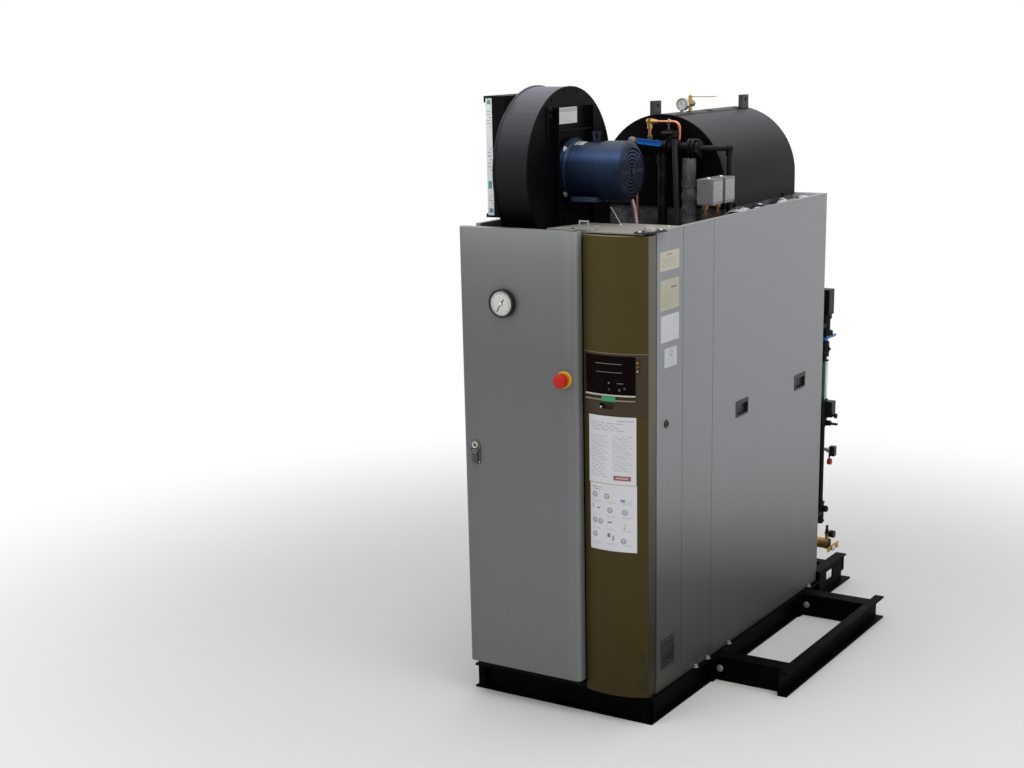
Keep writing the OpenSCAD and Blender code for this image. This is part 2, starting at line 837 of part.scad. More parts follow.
// Slot with round ends through the cover's front, for the handle and its cup
module handle_slot(y0, y1, grow) {
  r = handle_height / 2 + grow;
  reach = handle_length / 2 - handle_height / 2;
  block(handle_x - reach, handle_x + reach, y0, y1, handle_z - r, handle_z + r);
  for (s = [-1, 1]) rod_y(handle_x + s * reach, y0, y1, handle_z, r);
}

module cover_groove(z) {
  difference() {
    cover_curve(cover_radius + 5, z - 1, z + 1);
    cover_curve(cover_radius - 1.2, z - 2, z + 2);
  }
}

module column_cover() {
  cup_back = cover_front + 20;
  color(bronze) difference() {
    union() {
      difference() {
        cover_curve(cover_radius, cover_bottom, cover_top);
        cover_curve(cover_radius - sheet, cover_bottom + sheet, cover_top - sheet);
      }
      block(cover_left, cover_left + sheet, cover_left_y + 1, cover_axis_y + 7, cover_bottom, cover_top);
      block(half_width - sheet, half_width, cover_corner_y + 1, cover_return_end, cover_bottom, cover_top);
      // Cup behind the handle's slot
      handle_slot(cover_front + 3, cup_back + 3, 3);
    }
    handle_slot(cover_front - 5, cup_back, 0);
    cover_groove(seam_upper_z);
    cover_groove(seam_lower_z);
    rod_z(cover_axis_x, cover_axis_y, cover_bottom - 1, cover_bottom + sheet + 1, cover_pin_radius + running);
    rod_z(cover_axis_x, cover_axis_y, cover_top - sheet - 1, cover_top + 1, cover_pin_radius + running);
  }
}

// Curved plate on the cover's outside, `proud` in front of it
module cover_plate(x0, x1, z0, z1, proud) {
  difference() {
    intersection() {
      rod_z(cover_centre_x, cover_centre_y, z0, z1, cover_radius + proud);
      block(x0, x1, cover_front - 20, cover_corner_y, z0, z1);
    }
    rod_z(cover_centre_x, cover_centre_y, z0 - 1, z1 + 1, cover_radius);
  }
}

module operator_panel() {
  x0 = screen_left;
  x1 = screen_right;
  low = screen_z - screen_height / 2;
  ledge = 4;
  ledge_drop = 22;
  color([0.05, 0.05, 0.06]) {
    cover_plate(x0, x1, low - ledge_drop, low + screen_height, 3);
    // Finger ledges under the screen
    cover_plate(x0, x1, low - ledge, low, 7);
    cover_plate(x0, x1, low - ledge_drop, low - ledge_drop + ledge, 7);
    // Two signal lamps beside the screen
    for (z = [seam_upper_z - 30, seam_upper_z - 61]) {
      cover_plate(x1 + 4, x1 + 12, z - 4, z + 4, 5);
    }
    cover_plate(x1 - 1, x1 + 15, seam_upper_z - 70, seam_upper_z - 20, 2);
  }
}

/* Blower */

module blower_housing() {
  rim = 5;
  color(black) {
    intersection() {
      union() {
        rod_x(blower_far_x, blower_face_x, blower_y, blower_z, blower_radius);
        // Rolled rims of the two side sheets
        rod_x(blower_far_x, blower_far_x + 6, blower_y, blower_z, blower_radius + rim);
        rod_x(blower_face_x - 4, blower_face_x, blower_y, blower_z, blower_radius + 2);
      }
      block(blower_far_x, blower_face_x, front - 100, back, deck_z, blower_z + 2 * blower_radius);
    }
    // Outlet down through the deck, with its flange
    block(blower_far_x, blower_face_x, blower_y, blower_y + blower_radius, deck_z, blower_z);
    block(blower_far_x, blower_face_x + 20, blower_y - blower_radius + 90, blower_y + blower_radius + 15,
      deck_z, deck_z + 6);
    motor_frame(blower_face_x);
  }
}

// Upright and level angle bars that carry the motor's flange
module motor_frame(x) {
  leg = 4;
  stand = 30;
  inner = frame_half - frame_bar_width;
  level_low = cabinet_top + 40;
  level_high = cabinet_top + 338;
  for (s = [-1, 1]) {
    block(x - 1, x + leg, min(s * frame_half, s * inner) + blower_y, max(s * frame_half, s * inner) + blower_y,
      deck_z, frame_top);
    block(x - 1, x + stand, blower_y + s * (inner + 16) - leg / 2,
      blower_y + s * (inner + 16) + leg / 2, deck_z, frame_top);
  }
  for (z = [level_low, level_high]) {
    block(x - 1, x + leg, blower_y - inner, blower_y + inner, z - frame_bar_width / 2, z);
    block(x - 1, x + stand, blower_y - inner, blower_y + inner, z - leg, z);
  }
  // Round plate that the motor bolts to
  rod_x(x - 1, x + 12, blower_y, blower_z, motor_radius + 6);
}

module filter_box() {
  x = blower_far_x;
  far = x - filter_box_depth - filter_thickness - 5;
  color(black) {
    block(x - filter_box_depth, x, filter_front, filter_rear, filter_low, filter_top);
    // Channels above and below that hold the filter
    block(far, x, filter_front, filter_rear, filter_top - filter_lip, filter_top);
    block(far, far + 3, filter_front, filter_rear, filter_top - 24, filter_top);
    block(far, x, filter_front, filter_rear, filter_low, filter_low + filter_lip);
    block(far, far + 3, filter_front, filter_rear, filter_low, filter_low + 2 * filter_lip);
    for (y = [filter_front + 34, filter_rear - 39]) {
      block(x - 0.7 * filter_box_depth, x, y - 15, y + 15, deck_z, filter_low + 1);
    }
  }
}

module filter_panel() {
  x = blower_far_x - filter_box_depth - seat;
  z0 = filter_low + filter_lip + seat;
  z1 = filter_top - filter_lip - seat;
  pleats = 12;
  pitch = (filter_box_width - 48) / pleats;
  color([0.9, 0.9, 0.88]) difference() {
    block(x - filter_thickness, x, filter_front + 4, filter_rear - 4, z0, z1);
    // Pleats on the air side
    for (i = [0 : pleats - 1]) {
      block(x - filter_thickness - 1, x - 0.6 * filter_thickness, filter_front + 24 + (i + 0.25) * pitch,
        filter_front + 24 + (i + 0.7) * pitch, z0 + 25, z1 - 25);
    }
  }
}

lug_height = 38;
foot_x = [-55, 95];

module motor_body() {
  x = motor_x;
  r = motor_radius;
  color(navy) {
    // Flange, end bell, shell and rear band as one turned profile
    translate([x, blower_y, blower_z]) rotate([0, 90, 0]) rotate_extrude($fn = 96) {
      square([r + 16, 10]);
      square([r + 8, 18]);
      difference() {
        square([r + 8, 26]);
        translate([r + 8, 26]) circle(r = 8, $fn = 48);
      }
      square([r, fan_cover_x - x]);
      translate([0, 42]) square([r + 1.5, 3]);
    }
    // Foot plate with upturned edges
    block(foot_x[0], fan_cover_x - 4, blower_y - 78, blower_y + 78, blower_z - r - 4, blower_z - r + 12);
    for (s = [-1, 1]) {
      block(foot_x[0], fan_cover_x - 4, blower_y + s * 78 - 3, blower_y + s * 78 + 3,
        blower_z - r - 4, blower_z - r + 14);
    }
    // Flared lifting lug with its window
    translate([9, blower_y + 5, blower_z + r - 6]) rotate([90, 0, 0]) linear_extrude(10) {
      difference() {
        polygon([[-11, 0], [11, 0], [17, lug_height + 6], [-17, lug_height + 6]]);
        polygon([[-5, 12], [5, 12], [10, lug_height], [-10, lug_height]]);
      }
    }
    // Terminal box on the far side
    block(-20, 50, blower_y + r - 12, blower_y + r + 52, blower_z - 42, blower_z + 42);
    block(-24, 54, blower_y + r + 50, blower_y + r + 56, blower_z - 46, blower_z + 46);
  }
}

// Pressed fan cover: a round-shouldered shell with rings of slots in its end
module motor_fan_cover() {
  r = fan_cover_radius;
  shoulder = 24;
  skin = 2.5;
  length = motor_end_x - fan_cover_x;
  slot = 5;
  pitch = 13.4;
  color(navy) {
    translate([fan_cover_x, blower_y, blower_z]) rotate([0, 90, 0]) difference() {
      union() {
        rotate_extrude($fn = 96) {
          difference() {
            square([r, length - shoulder]);
            translate([0, -1]) square([r - skin, length - shoulder + 2]);
          }
          difference() {
            union() {
              translate([r - shoulder, length - shoulder]) circle(r = shoulder, $fn = 96);
              translate([0, length - shoulder]) square([r - shoulder, shoulder]);
            }
            translate([r - shoulder, length - shoulder]) circle(r = shoulder - skin, $fn = 96);
            translate([-1, length - shoulder - 1]) square([r - shoulder + 1, shoulder + 1 - skin]);
            translate([0, length - 2 * shoulder - 1]) square([r + 1, shoulder + 1]);
          }
        }
      }
      // Rings of slots between the spokes
      difference() {
        for (i = [0 : grille_rings - 1]) {
          inner = 14 + i * pitch;
          difference() {
            translate([0, 0, length - skin - 1]) cylinder(h = skin + 2, r = inner + slot, $fn = 96);
            translate([0, 0, length - skin - 2]) cylinder(h = skin + 4, r = inner, $fn = 96);
          }
        }
        for (i = [0 : grille_spokes - 1]) {
          rotate([0, 0, 45 + i * 360 / grille_spokes]) translate([0, -2.5, length - skin - 3]) {
            cube([r, 5, skin + 6]);
          }
        }
        // Wide level band across the grille
        translate([-7, -r, length - skin - 3]) cube([14, 2 * r, skin + 6]);
      }
    }
    // Fan disc and hub seen through the slots, on the motor's shaft
    rod_x(fan_cover_x, motor_end_x - 20, blower_y, blower_z, 12);
    rod_x(fan_cover_x + 30, fan_cover_x + 34, blower_y, blower_z, r - 8);
    // Collar that grips the motor's shell
    difference() {
      rod_x(fan_cover_x, fan_cover_x + 6, blower_y, blower_z, r - 1);
      rod_x(fan_cover_x - 1, fan_cover_x + 7, blower_y, blower_z, motor_radius - 20);
    }
    for (a = [0 : 60 : 300]) {
      translate([fan_cover_x, blower_y, blower_z]) rotate([a, 0, 0]) {
        translate([0, 10, -2]) cube([34, motor_radius - 28, 4]);
      }
    }
  }
}

// Tube through four points, with its last length upright down to the deck
module flexible_tube(bends, top, r, joint) {
  rod_z(bends[0][0], bends[0][1], bends[0][2], top, r);
  for (i = [0 : len(bends) - 2]) tube_between(bends[i], bends[i + 1], r);
  for (p = bends) translate(p) sphere(r = r + joint, $fn = 48);
  last = bends[len(bends) - 1];
  rod_z(last[0], last[1], deck_z, last[2], r);
}

module motor_conduit() {
  y = blower_y + motor_radius + 32;
  top = blower_z - 42 - seat;
  color([0.6, 0.55, 0.55]) {
    flexible_tube([[30, y, top - 16], [86, y - 16, top - 58], [112, y - 22, deck_z + 60]], top, 9, 1.5);
    // Hose from the level pipe's bleed fitting
    flexible_tube([[hose_x, hose_y, manifold_z + 10], [hose_x + 5, hose_y - 2, deck_z + 60]],
      manifold_z + 44, 11, 1);
  }
}

/* Barrel */

// Holes in the cladding round the fittings on the barrel's crown
cladding = 8;

module barrel() {
  rim = 3;
  color([0.16, 0.16, 0.17]) difference() {
    union() {
      intersection() {
        rod_y(0, barrel_front, barrel_back, barrel_z, barrel_radius);
        block(-barrel_radius, barrel_radius, barrel_front, barrel_back, barrel_z - 1, barrel_top + 1);
      }
      block(-barrel_radius, barrel_radius, barrel_front, barrel_back, barrel_low, barrel_z);
      // Wrapped lower half that sits in the cabinet's top
      block(-barrel_radius + 5, barrel_radius - 5, barrel_front + 5, barrel_back - 5,
        deck_z, barrel_low + 1);
      // Feet beside the barrel
      for (s = [-1, 1]) {
        for (y = [barrel_front + 90, barrel_back - 130]) {
          block(s * (barrel_radius - 8) - 14, s * (barrel_radius - 8) + 14, y, y + 50,
            deck_z, barrel_low + 14);
        }
      }
    }
    // Shallow seam round the end sheets
    for (y = [barrel_front + 6, barrel_back - 8]) {
      difference() {
        rod_y(0, y, y + 2, barrel_z, barrel_radius + 1);
        rod_y(0, y - 1, y + 3, barrel_z, barrel_radius - rim);
        block(-barrel_radius - 2, barrel_radius + 2, y - 2, y + 4, barrel_low, barrel_z);
      }
    }
    rod_z(0, gauge_y + 10, barrel_top - cladding, barrel_top + 1, 30);
    rod_z(26, drum_valve_y + 110, barrel_top - 2 * cladding, barrel_top + 1, 24);
    rod_z(40, lug_rear[1] - 26, barrel_top - 3 * cladding, barrel_top + 1, 20);
  }
}

module lug(place) {
  difference() {
    block(place[0] - lug_thickness / 2, place[0] + lug_thickness / 2, place[1], place[1] + lug_length,
      barrel_top - 30, lug_top);
    rod_x(place[0] - lug_thickness, place[0] + lug_thickness, place[1] + lug_length / 2, lug_top - 20,
      lug_hole_radius);
    rod_y(0, barrel_front, barrel_back, barrel_z, barrel_radius + seat);
  }
}

module lifting_lugs() {
  color([0.22, 0.21, 0.21]) {
    lug(lug_front);
    lug(lug_rear);
  }
}

module barrel_gauge() {
  low = barrel_top - cladding + seat;
  color(brass) {
    hex_z(0, gauge_y + 10, low, low + 14, 13);
    rod_z(0, gauge_y + 10, low, drum_valve_z, 8);
    // Gauge case, bezel and dial
    translate([0, gauge_y - 2, drum_valve_z]) rotate([-90, 0, 0]) rotate_extrude($fn = 64) {
      translate([0, 3]) square([24, 19]);
      translate([21, 0]) square([4, 20]);
      translate([0, 20]) square([12, 8]);
    }
    // Tee and ball valve
    rod_y(0, gauge_y + 18, drum_valve_y - 22, drum_valve_z, 9);
    translate([0, drum_valve_y - 24, drum_valve_z]) rotate([-90, 0, 0]) cylinder(h = 12, r = 14, $fn = 6);
    rod_y(0, drum_valve_y - 20, drum_valve_y + 20, drum_valve_z, 12);
    translate([0, drum_valve_y + 10, drum_valve_z]) rotate([-90, 0, 0]) cylinder(h = 12, r = 14, $fn = 6);
    rod_z(0, drum_valve_y, barrel_top + seat, drum_valve_z, 8);
    rod_z(0, drum_valve_y, drum_valve_z, drum_lever_z - 4, 7);
    hex_z(0, drum_valve_y, drum_valve_z + 8, drum_valve_z + 17, 11);
    rod_z(0, drum_valve_y, drum_lever_z - 5, drum_lever_z + 8, 4);
  }
}

module barrel_valve_lever() {
  color(brass) difference() {
    union() {
      rod_z(0, drum_valve_y, drum_lever_z - 3, drum_lever_z + 3, 9);
      block(0, 90, drum_valve_y - 6, drum_valve_y + 6, drum_lever_z - 1, drum_lever_z + 2);
      translate([90, drum_valve_y - 6, drum_lever_z - 1]) rotate([0, -4, 0]) cube([26, 12, 3]);
    }
    rod_z(0, drum_valve_y, drum_lever_z - 5, drum_lever_z + 5, 4 + running);
  }
}

/* Pipes in front of the barrel */

module gas_pipes() {
  y = manifold_y;
  z = manifold_z;
  r = manifold_radius;
  drop_y = barrel_front + 14;
  branch = [riser_x + 40, y, z];
  corner = [drop_pipe_x, drop_y, z - 3];
  run = corner - branch;
  turn = atan2(run[1], run[0]);
  color(black) {
    rod_x(-110, riser_x + 45, y, z, r);
    coupling_x(-108, -60, y, z, r + 6);
    coupling_x(-48, -16, y, z, r + 5);
    coupling_x(8, 58, y, z, r + 6);
    coupling_x(72, 112, y, z, r + 3);
    // Plug in the end of the level pipe
    hex_x(-124, -109, y, z, 15);
    // Union with its two flanges
    rod_x(riser_x + 2, riser_x + 14, y, z, flange_radius);
    rod_x(riser_x + 20, riser_x + 32, y, z, flange_radius);
    rod_x(riser_x + 10, riser_x + 48, y, z, r + 8);
    for (a = [20 : 90 : 290]) {
      translate([riser_x, y, z]) rotate([a, 0, 0]) {
        translate([0, 0, flange_radius - 8]) rotate([0, 90, 0]) cylinder(h = 42, r = 6, $fn = 32);
      }
    }
    // Upright pipe down to the deck, with its tee
    coupling_z(33, y, z - 62, z - 10, 23);
    rod_z(33, y, deck_z, z, 19);
    // Bleed fitting on the level pipe, with the hose's elbow
    rod_z(bleed_x, y, z, z + 40, 11);
    hex_z(bleed_x, y, z + 34, z + 70, 15);
    rod_z(bleed_x, y, z + 68, copper_z - copper_radius - 2 * seat, 4);
    rod_y(bleed_x, hose_y, y, z + 56, 8);
    rod_x(bleed_x - 9, hose_x, hose_y, z + 56, 9);
    rod_z(hose_x, hose_y, z + 44 + seat, z + 67, 11);
    // Thin branch over to the drop pipe, with its elbow
    tube_between(branch, corner, 11);
    translate([branch[0], branch[1], branch[2]]) rotate([0, 0, turn]) {
      translate([norm(run) - 26, 0, -3]) rotate([0, 90, 0]) cylinder(h = 16, r = 16, $fn = 48);
    }
    translate(corner) sphere(r = 17, $fn = 48);
    rod_z(drop_pipe_x, drop_y, z - 26, z - 4, 13.5);
    rod_z(drop_pipe_x, drop_y, z - 32, z - 20, 16);
    rod_z(drop_pipe_x, drop_y, deck_z, z - 4, 11);
    // Valve body, stem and bonnet that carry the lever
    rod_z(gas_valve_x, y, z, z + 36, 16);
    rod_y(gas_valve_x, y - 47, y, gas_lever_z, stem_radius);
  }
}

module gas_valve_lever() {
  y = gas_lever_y;
  drop = 5;
  color(blue) difference() {
    union() {
      rod_y(gas_valve_x, y - 8, y + 8, gas_lever_z, 13);
      translate([gas_valve_x, 0, gas_lever_z]) rotate([0, drop, 0]) {
        block(0, 126, y - 6, y - 1, -10, 10);
        // Folded flanges of the handle
        for (s = [-1, 1]) block(28, 125, y - 9, y - 1, s * 9 - 1.5, s * 9 + 1.5);
      }
    }
    rod_y(gas_valve_x, y - 20, y + 20, gas_lever_z, stem_radius + 0.4);
  }
}

module wrapped_riser() {
  low = manifold_z - flange_radius - seat;
  color([0.3, 0.3, 0.32]) {
    rod_z(riser_x, manifold_y, deck_z, low, 27);
    // Bulges of the wrapping
    for (i = [0 : 3]) rod_z(riser_x, manifold_y, deck_z + 20 + i * 50, deck_z + 46 + i * 50, 30);
  }
}

module copper_tube() {
  z = copper_z;
  bend = 24;
  right_x = 107;
  end_proud = 7;
  start = manifold_z + manifold_radius + 9 + seat;
  color(copper) {
    // Brass tee on the level pipe, then the tube over and down to it again
    rod_z(tee_x, manifold_y, start, z, 7);
    hex_z(tee_x, manifold_y, start, start + 16, 11);
    rod_z(tee_x, manifold_y, z - 26, z + 12, 12);
    rod_x(tee_x - 13, tee_x + 22, manifold_y, z, 11);
    rod_x(tee_x + 20, tee_x + 34, manifold_y, z, 9);
    rod_x(tee_x, right_x - bend, manifold_y, z, copper_radius);
    bend_down([right_x - bend, manifold_y, z], bend, copper_radius);
    rod_z(right_x, manifold_y, manifold_z + manifold_radius + end_proud + seat, z - bend, copper_radius);
    // Tube from the valve down to the deck
    rod_z(gas_valve_x, manifold_y, deck_z, manifold_z - manifold_radius - 10 - seat, copper_radius - 1);
  }
}

module pressure_switches() {
  x = drop_pipe_x - 4;
  half = switch_width / 2;
  color(grey) for (y = [manifold_y - 92, manifold_y + 15]) {
    block(x - half + 2, x + half - 2, y - 42, y + 40, cabinet_top + 35, cabinet_top + 131);
    // Cover with folded edges
    block(x - half, x + half, y - 44, y + 42, cabinet_top + 40, cabinet_top + 133);
    rod_z(x - 20, y, deck_z, cabinet_top + 36, 8);
    hex_z(x - 20, y, cabinet_top + 16, cabinet_top + 34, 15);
    hex_z(x - 20, y, cabinet_top - 20, cabinet_top, 13);
  }
}

/* Pipes behind the cabinet */

head_low = stack_top - stack_head;
reducer_low = head_low - 75;
upper_pipe_z = reducer_low + 27;
bonnet_low = reducer_low - 19;

module rear_pipes() {
  x = stack_x;
  y = stack_y;
  color(black) {
    // Square-section top piece, reducers and upper pipe
    block(x - 28, x + 28, y - 28, y + 28, head_low, stack_top);
    rod_z(x, y, head_low - 20, head_low + 1, 29);
    rod_z(x, y, reducer_low, head_low - 19, 23);
    hex_z(x, y, bonnet_low, reducer_low + 1, 38);
    // Upper pipe into the cabinet
    rod_y(x, back, y, upper_pipe_z, arm_radius);
    rod_y(x, back, back + 8, upper_pipe_z, arm_radius + 12);
    // Stem through the upper lever, down to the valve
    rod_z(x, y, upper_lever_z - 14, bonnet_low + 1, 8);
    // Lower pipe, its tee, plug and the pipe into the cabinet
    rod_z(x, y, lower_tee_z - 17, middle_valve_z - 39, pipe_radius);
    coupling_z(x, y, lower_tee_z - 47, lower_tee_z + 47, 18);
    rod_x(x, x + 32, y, lower_tee_z + 15, 15);
    hex_x(x + 24, x + 37, y, lower_tee_z + 15, 12);
    hex_z(x, y, lower_tee_z - 55, lower_tee_z - 45, 16);
    rod_y(x, back, y, lower_tee_z - 2, arm_radius);
    rod_y(x, back, back + 8, lower_tee_z - 2, arm_radius + 12);
  }
}

module rear_valves() {
  x = stack_x;
  y = stack_y;
  mid = middle_valve_z;
  top = upper_lever_z - 12;
  color(brass) {
    // Upper valve, sight glass with its guard and lower valve with a hand wheel
    difference() {
      union() {
        rod_z(x, y, top - 67, top, 21);
        hex_z(x, y, top - 46, top - 18, 24);
        rod_x(x, x + 28, y, top - 33, 6);
        rod_z(x, y, mid + 78, top - 66, pipe_radius);
        rod_z(x, y, mid, mid + 79, 28);
        block(x, x + 52, y - 22, y + 22, mid + 6, mid + 77);
        rod_x(x + 48, x + 68, y, mid + 11, 4);
        rod_x(x + 58, x + 68, y, mid + 11, 11);
        rod_z(x, y, mid - 39 + seat, mid + 1, 20);
        rod_x(x, x + 40, y, mid - 25, 12);
        block(x + 34, x + 72, y - 4, y + 4, mid - 32, mid - 22);
      }
      // Socket over the upper lever's stem
      rod_z(x, y, upper_lever_z - 14.1, upper_lever_z, 8 + seat);
    }
    // Test valve on the lower pipe: nipple, spring-loaded head and round tag
    difference() {
      union() {
        rod_x(x, x + 30, y, test_valve_z + 2, 8);
        hex_x(x + 26, x + 42, y, test_valve_z, 13);
        block(x + 41, x + 66, y - 14, y + 14, test_valve_z - 24, test_valve_z + 20);
        rod_x(x + 32, x + 48, y, test_valve_z - 53, 14);
        rod_z(x + 38, y, test_valve_z - 53, test_valve_z, 4);
      }
      rod_z(x, y, test_valve_z - 90, test_valve_z + 30, pipe_radius + seat);
    }
    // Blowdown valve on its own pipe from the cabinet
    rod_y(x - 4, back, y + 20, blowdown_z, 14);
    rod_y(x - 4, back, back + 8, blowdown_z, 26);
    rod_x(x - 28, x + 48, y, blowdown_z + 4, 24);
    hex_x(x + 34, x + 50, y, blowdown_z + 4, 26);
    rod_x(x + 30, x + 53, y, blowdown_z + 52, 9);
    rod_z(x + 38, y, blowdown_z, blowdown_z + 70, 8);
    rod_x(x + 52, x + 74, y, blowdown_z + 52, 17);
    rod_z(x + 38, y, blowdown_z + 60, blowdown_z + 90, 6);
    // Stem that carries the lower lever
    rod_x(x + 50, x + 68, y, blowdown_z - 15, 6);
    rod_x(x + 30, x + 54, y, blowdown_z - 12, 11);
  }
}

module rear_upper_lever() {
  x = stack_x;
  y = stack_y;
  z = upper_lever_z;
  color(blue) difference() {
    union() {
      rod_z(x, y, z - 7, z + 7, 15);
      block(x - 11, x + 11, y, y + 108, z - 3, z + 3);
      // Folded flanges of the handle
      for (s = [-1, 1]) block(x + s * 10 - 1.5, x + s * 10 + 1.5, y + 22, y + 106, z - 3, z + 8);
    }
    rod_z(x, y, z - 10, z + 10, 8 + running);
  }
}

module rear_lower_lever() {
  x = stack_x + 56;
  y = stack_y;
  z = blowdown_z - 15;
  color(yellow) difference() {
    union() {
      rod_x(x, x + 10, y, z, 11);
      block(x + 2, x + 7, y - 40, y + 78, z - 11, z + 11);
      for (s = [-1, 1]) block(x + 2, x + 12, y + 18, y + 76, z + s * 10 - 1.5, z + s * 10 + 1.5);
    }
    rod_x(x - 1, x + 13, y, z, 6 + running);
  }
}

skid_rail_left();
skid_rail_right();
skid_cross_members();
outrigger_channel();
outrigger_arms();
base_frame();
front_frame();
side_strip();
narrow_panel();
wide_panel();
panel_pulls();
left_panels();
back_panel();
top_deck();
column_top();
column_case();
cover_hinge_plate();
boiler_vessel();
door();
door_gauge();
stop_collar();
stop_button();
latch_plate();
latch_flap();
column_cover();
operator_panel();
blower_housing();
filter_box();
filter_panel();
motor_body();
motor_fan_cover();
motor_conduit();
barrel();
lifting_lugs();
barrel_gauge();
barrel_valve_lever();
gas_pipes();
gas_valve_lever();
wrapped_riser();
copper_tube();
pressure_switches();
rear_pipes();
rear_valves();
rear_upper_lever();
rear_lower_lever();
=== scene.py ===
"""Packaged steam boiler: finishes, fine parts and studio for the loaded frame.

Lengths are in metres in the frame's own axes: +X to the cabinet's right, +Y to its back, +Z up.
"""

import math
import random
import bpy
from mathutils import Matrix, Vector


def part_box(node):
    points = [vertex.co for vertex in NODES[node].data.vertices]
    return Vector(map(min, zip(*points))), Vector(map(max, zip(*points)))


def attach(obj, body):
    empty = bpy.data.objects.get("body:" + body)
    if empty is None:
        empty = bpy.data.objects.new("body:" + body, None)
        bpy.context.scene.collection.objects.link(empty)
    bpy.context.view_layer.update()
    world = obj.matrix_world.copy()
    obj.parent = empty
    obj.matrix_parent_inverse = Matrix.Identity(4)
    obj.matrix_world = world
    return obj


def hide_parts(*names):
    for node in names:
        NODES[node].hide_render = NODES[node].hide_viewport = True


bl_info = {
    "name": "Packaged Steam Boiler",
    "version": (1, 0, 0),
    "blender": (4, 5, 0),
    "location": "View3D > Sidebar > Boiler",
    "description": "Dresses the frame of a packaged steam boiler with finishes and fine parts",
    "category": "Object",
}

from contextlib import contextmanager

import bmesh
import bpy
from mathutils import Euler, Matrix, Vector

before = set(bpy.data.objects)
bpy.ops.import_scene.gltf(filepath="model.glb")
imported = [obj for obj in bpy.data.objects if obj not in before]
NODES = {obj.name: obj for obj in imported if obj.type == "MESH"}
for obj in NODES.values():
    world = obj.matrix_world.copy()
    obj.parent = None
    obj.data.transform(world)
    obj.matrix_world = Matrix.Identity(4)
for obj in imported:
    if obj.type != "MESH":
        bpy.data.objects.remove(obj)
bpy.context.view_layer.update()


# Places that several pieces share


def edge(node, axis, side):
    """One bound of a CAD node: side 0 is its low end, 1 its high end."""
    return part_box(node)[side]["xyz".index(axis)]


CABINET_TOP = edge("wide_panel", "z", 1)
PANEL_X = edge("wide_panel", "x", 1)
FRONT = edge("door", "y", 0)
BACK = edge("wide_panel", "y", 1)
DECK_Z = edge("top_deck", "z", 1)
BLOWER_Y = (edge("blower_housing", "y", 0) + edge("blower_housing", "y", 1)) / 2
COVER_FRONT = edge("column_cover", "y", 0)
# The cover's face is an arc: its radius and the place of its centre across
COVER_RADIUS = 0.30459
COVER_X = 0.23098
COVER_Y = COVER_FRONT + COVER_RADIUS
BLOWER_X = edge("blower_housing", "x", 0) + 0.148
BLOWER_Z = CABINET_TOP + 0.186
MOTOR_RADIUS = 0.104
THREAD_PITCH = 0.0026
MANIFOLD_Y = -0.005
MANIFOLD_Z = CABINET_TOP + 0.240
RISER = (0.150, MANIFOLD_Y)
HOSE = (0.108, MANIFOLD_Y - 0.042)
DRUM_FRONT = edge("barrel", "y", 0)
DRUM_BACK = edge("barrel", "y", 1)
DRUM_TOP = edge("barrel", "z", 1)
DRUM_Z = DRUM_TOP - 0.276
GAUGE = (-0.187, FRONT - 0.018, 1.578)
GAUGE_STEM_Y = DRUM_FRONT + 0.183
STACK = (0.350, BACK + 0.105)
VENT_Y = (-0.682, -0.574)

# The photograph's camera: its place, azimuth, elevation and roll in degrees, and its lens in millimetres
CAMERA_PLACE = (3.136, -5.957, 2.531)
CAMERA_ANGLES = (32.291, 15.411, -1.116)
CAMERA_LENS = 58.473
CAMERA_SHIFT = (-0.01605, 0.10625)

# The studio's lamps: name, place, turn in degrees, size and power
LAMPS = (
    ("ceiling_lamp", (0.5, -0.5, 5.6), (0, 0, 0), 6.0, 230),
    ("front_lamp", (-2.6, -6.0, 3.4), (62, 0, -22), 3.5, 60),
    ("side_lamp", (6.0, -1.5, 3.6), (0, 60, 8), 3.5, 70),
)


def cover_y(x):
    """Depth of the curved cover's face at a place across it."""
    return COVER_Y - math.sqrt(COVER_RADIUS**2 - (x - COVER_X) ** 2)


# Sizes and colours that can be changed in the sidebar


class BoilerSizes(bpy.types.PropertyGroup):
    """Sizes of the fine parts."""

    def length(label, text, value, low, high):
        return bpy.props.FloatProperty(
            name=label, description=text, default=value, min=low, max=high, unit="LENGTH"
        )

    bolt_radius: length(
        "Bolt head radius", "Radius of the skid's bolt heads over their corners", 0.010, 0.008, 0.03
    )
    screw_radius: length(
        "Screw head radius", "Radius of the small screws in sheet metal", 0.006, 0.003, 0.012
    )
    dial_radius: length(
        "Dial radius", "Radius of the white dial in the door's gauge", 0.045, 0.03, 0.05
    )
    sheet_thickness: length(
        "Label thickness", "Thickness of the printed labels", 0.0006, 0.0002, 0.002
    )


class BoilerColours(bpy.types.PropertyGroup):
    """Colours of the main finishes."""

    def colour(label, text, value):
        return bpy.props.FloatVectorProperty(
            name=label, description=text, default=value, size=3, subtype="COLOR", min=0, max=1
        )

    panels: colour("Panels", "Paint of the side panels", (0.385, 0.392, 0.41))
    door: colour("Door", "Paint of the door", (0.40, 0.405, 0.41))
    cover: colour("Cover", "Paint of the curved cover", (0.070, 0.054, 0.014))
    console: colour("Console", "Paint round the operator's screen", (0.055, 0.041, 0.025))
    beige: colour("Beige", "Paint of the column's top plate", (0.262, 0.248, 0.222))
    skid: colour("Skid", "Paint of the skid", (0.0013, 0.0013, 0.0013))
    sheet_black: colour("Black sheet", "Paint of the blower", (0.0016, 0.0016, 0.0022))
    drum: colour("Drum", "Paint of the insulated drum", (0.0205, 0.0205, 0.0235))
    motor: colour("Motor", "Paint of the motor", (0.009, 0.018, 0.043))
    lever: colour("Valve handle", "Sleeve of the blue valve handles", (0.015, 0.16, 0.62))


# Shader maths


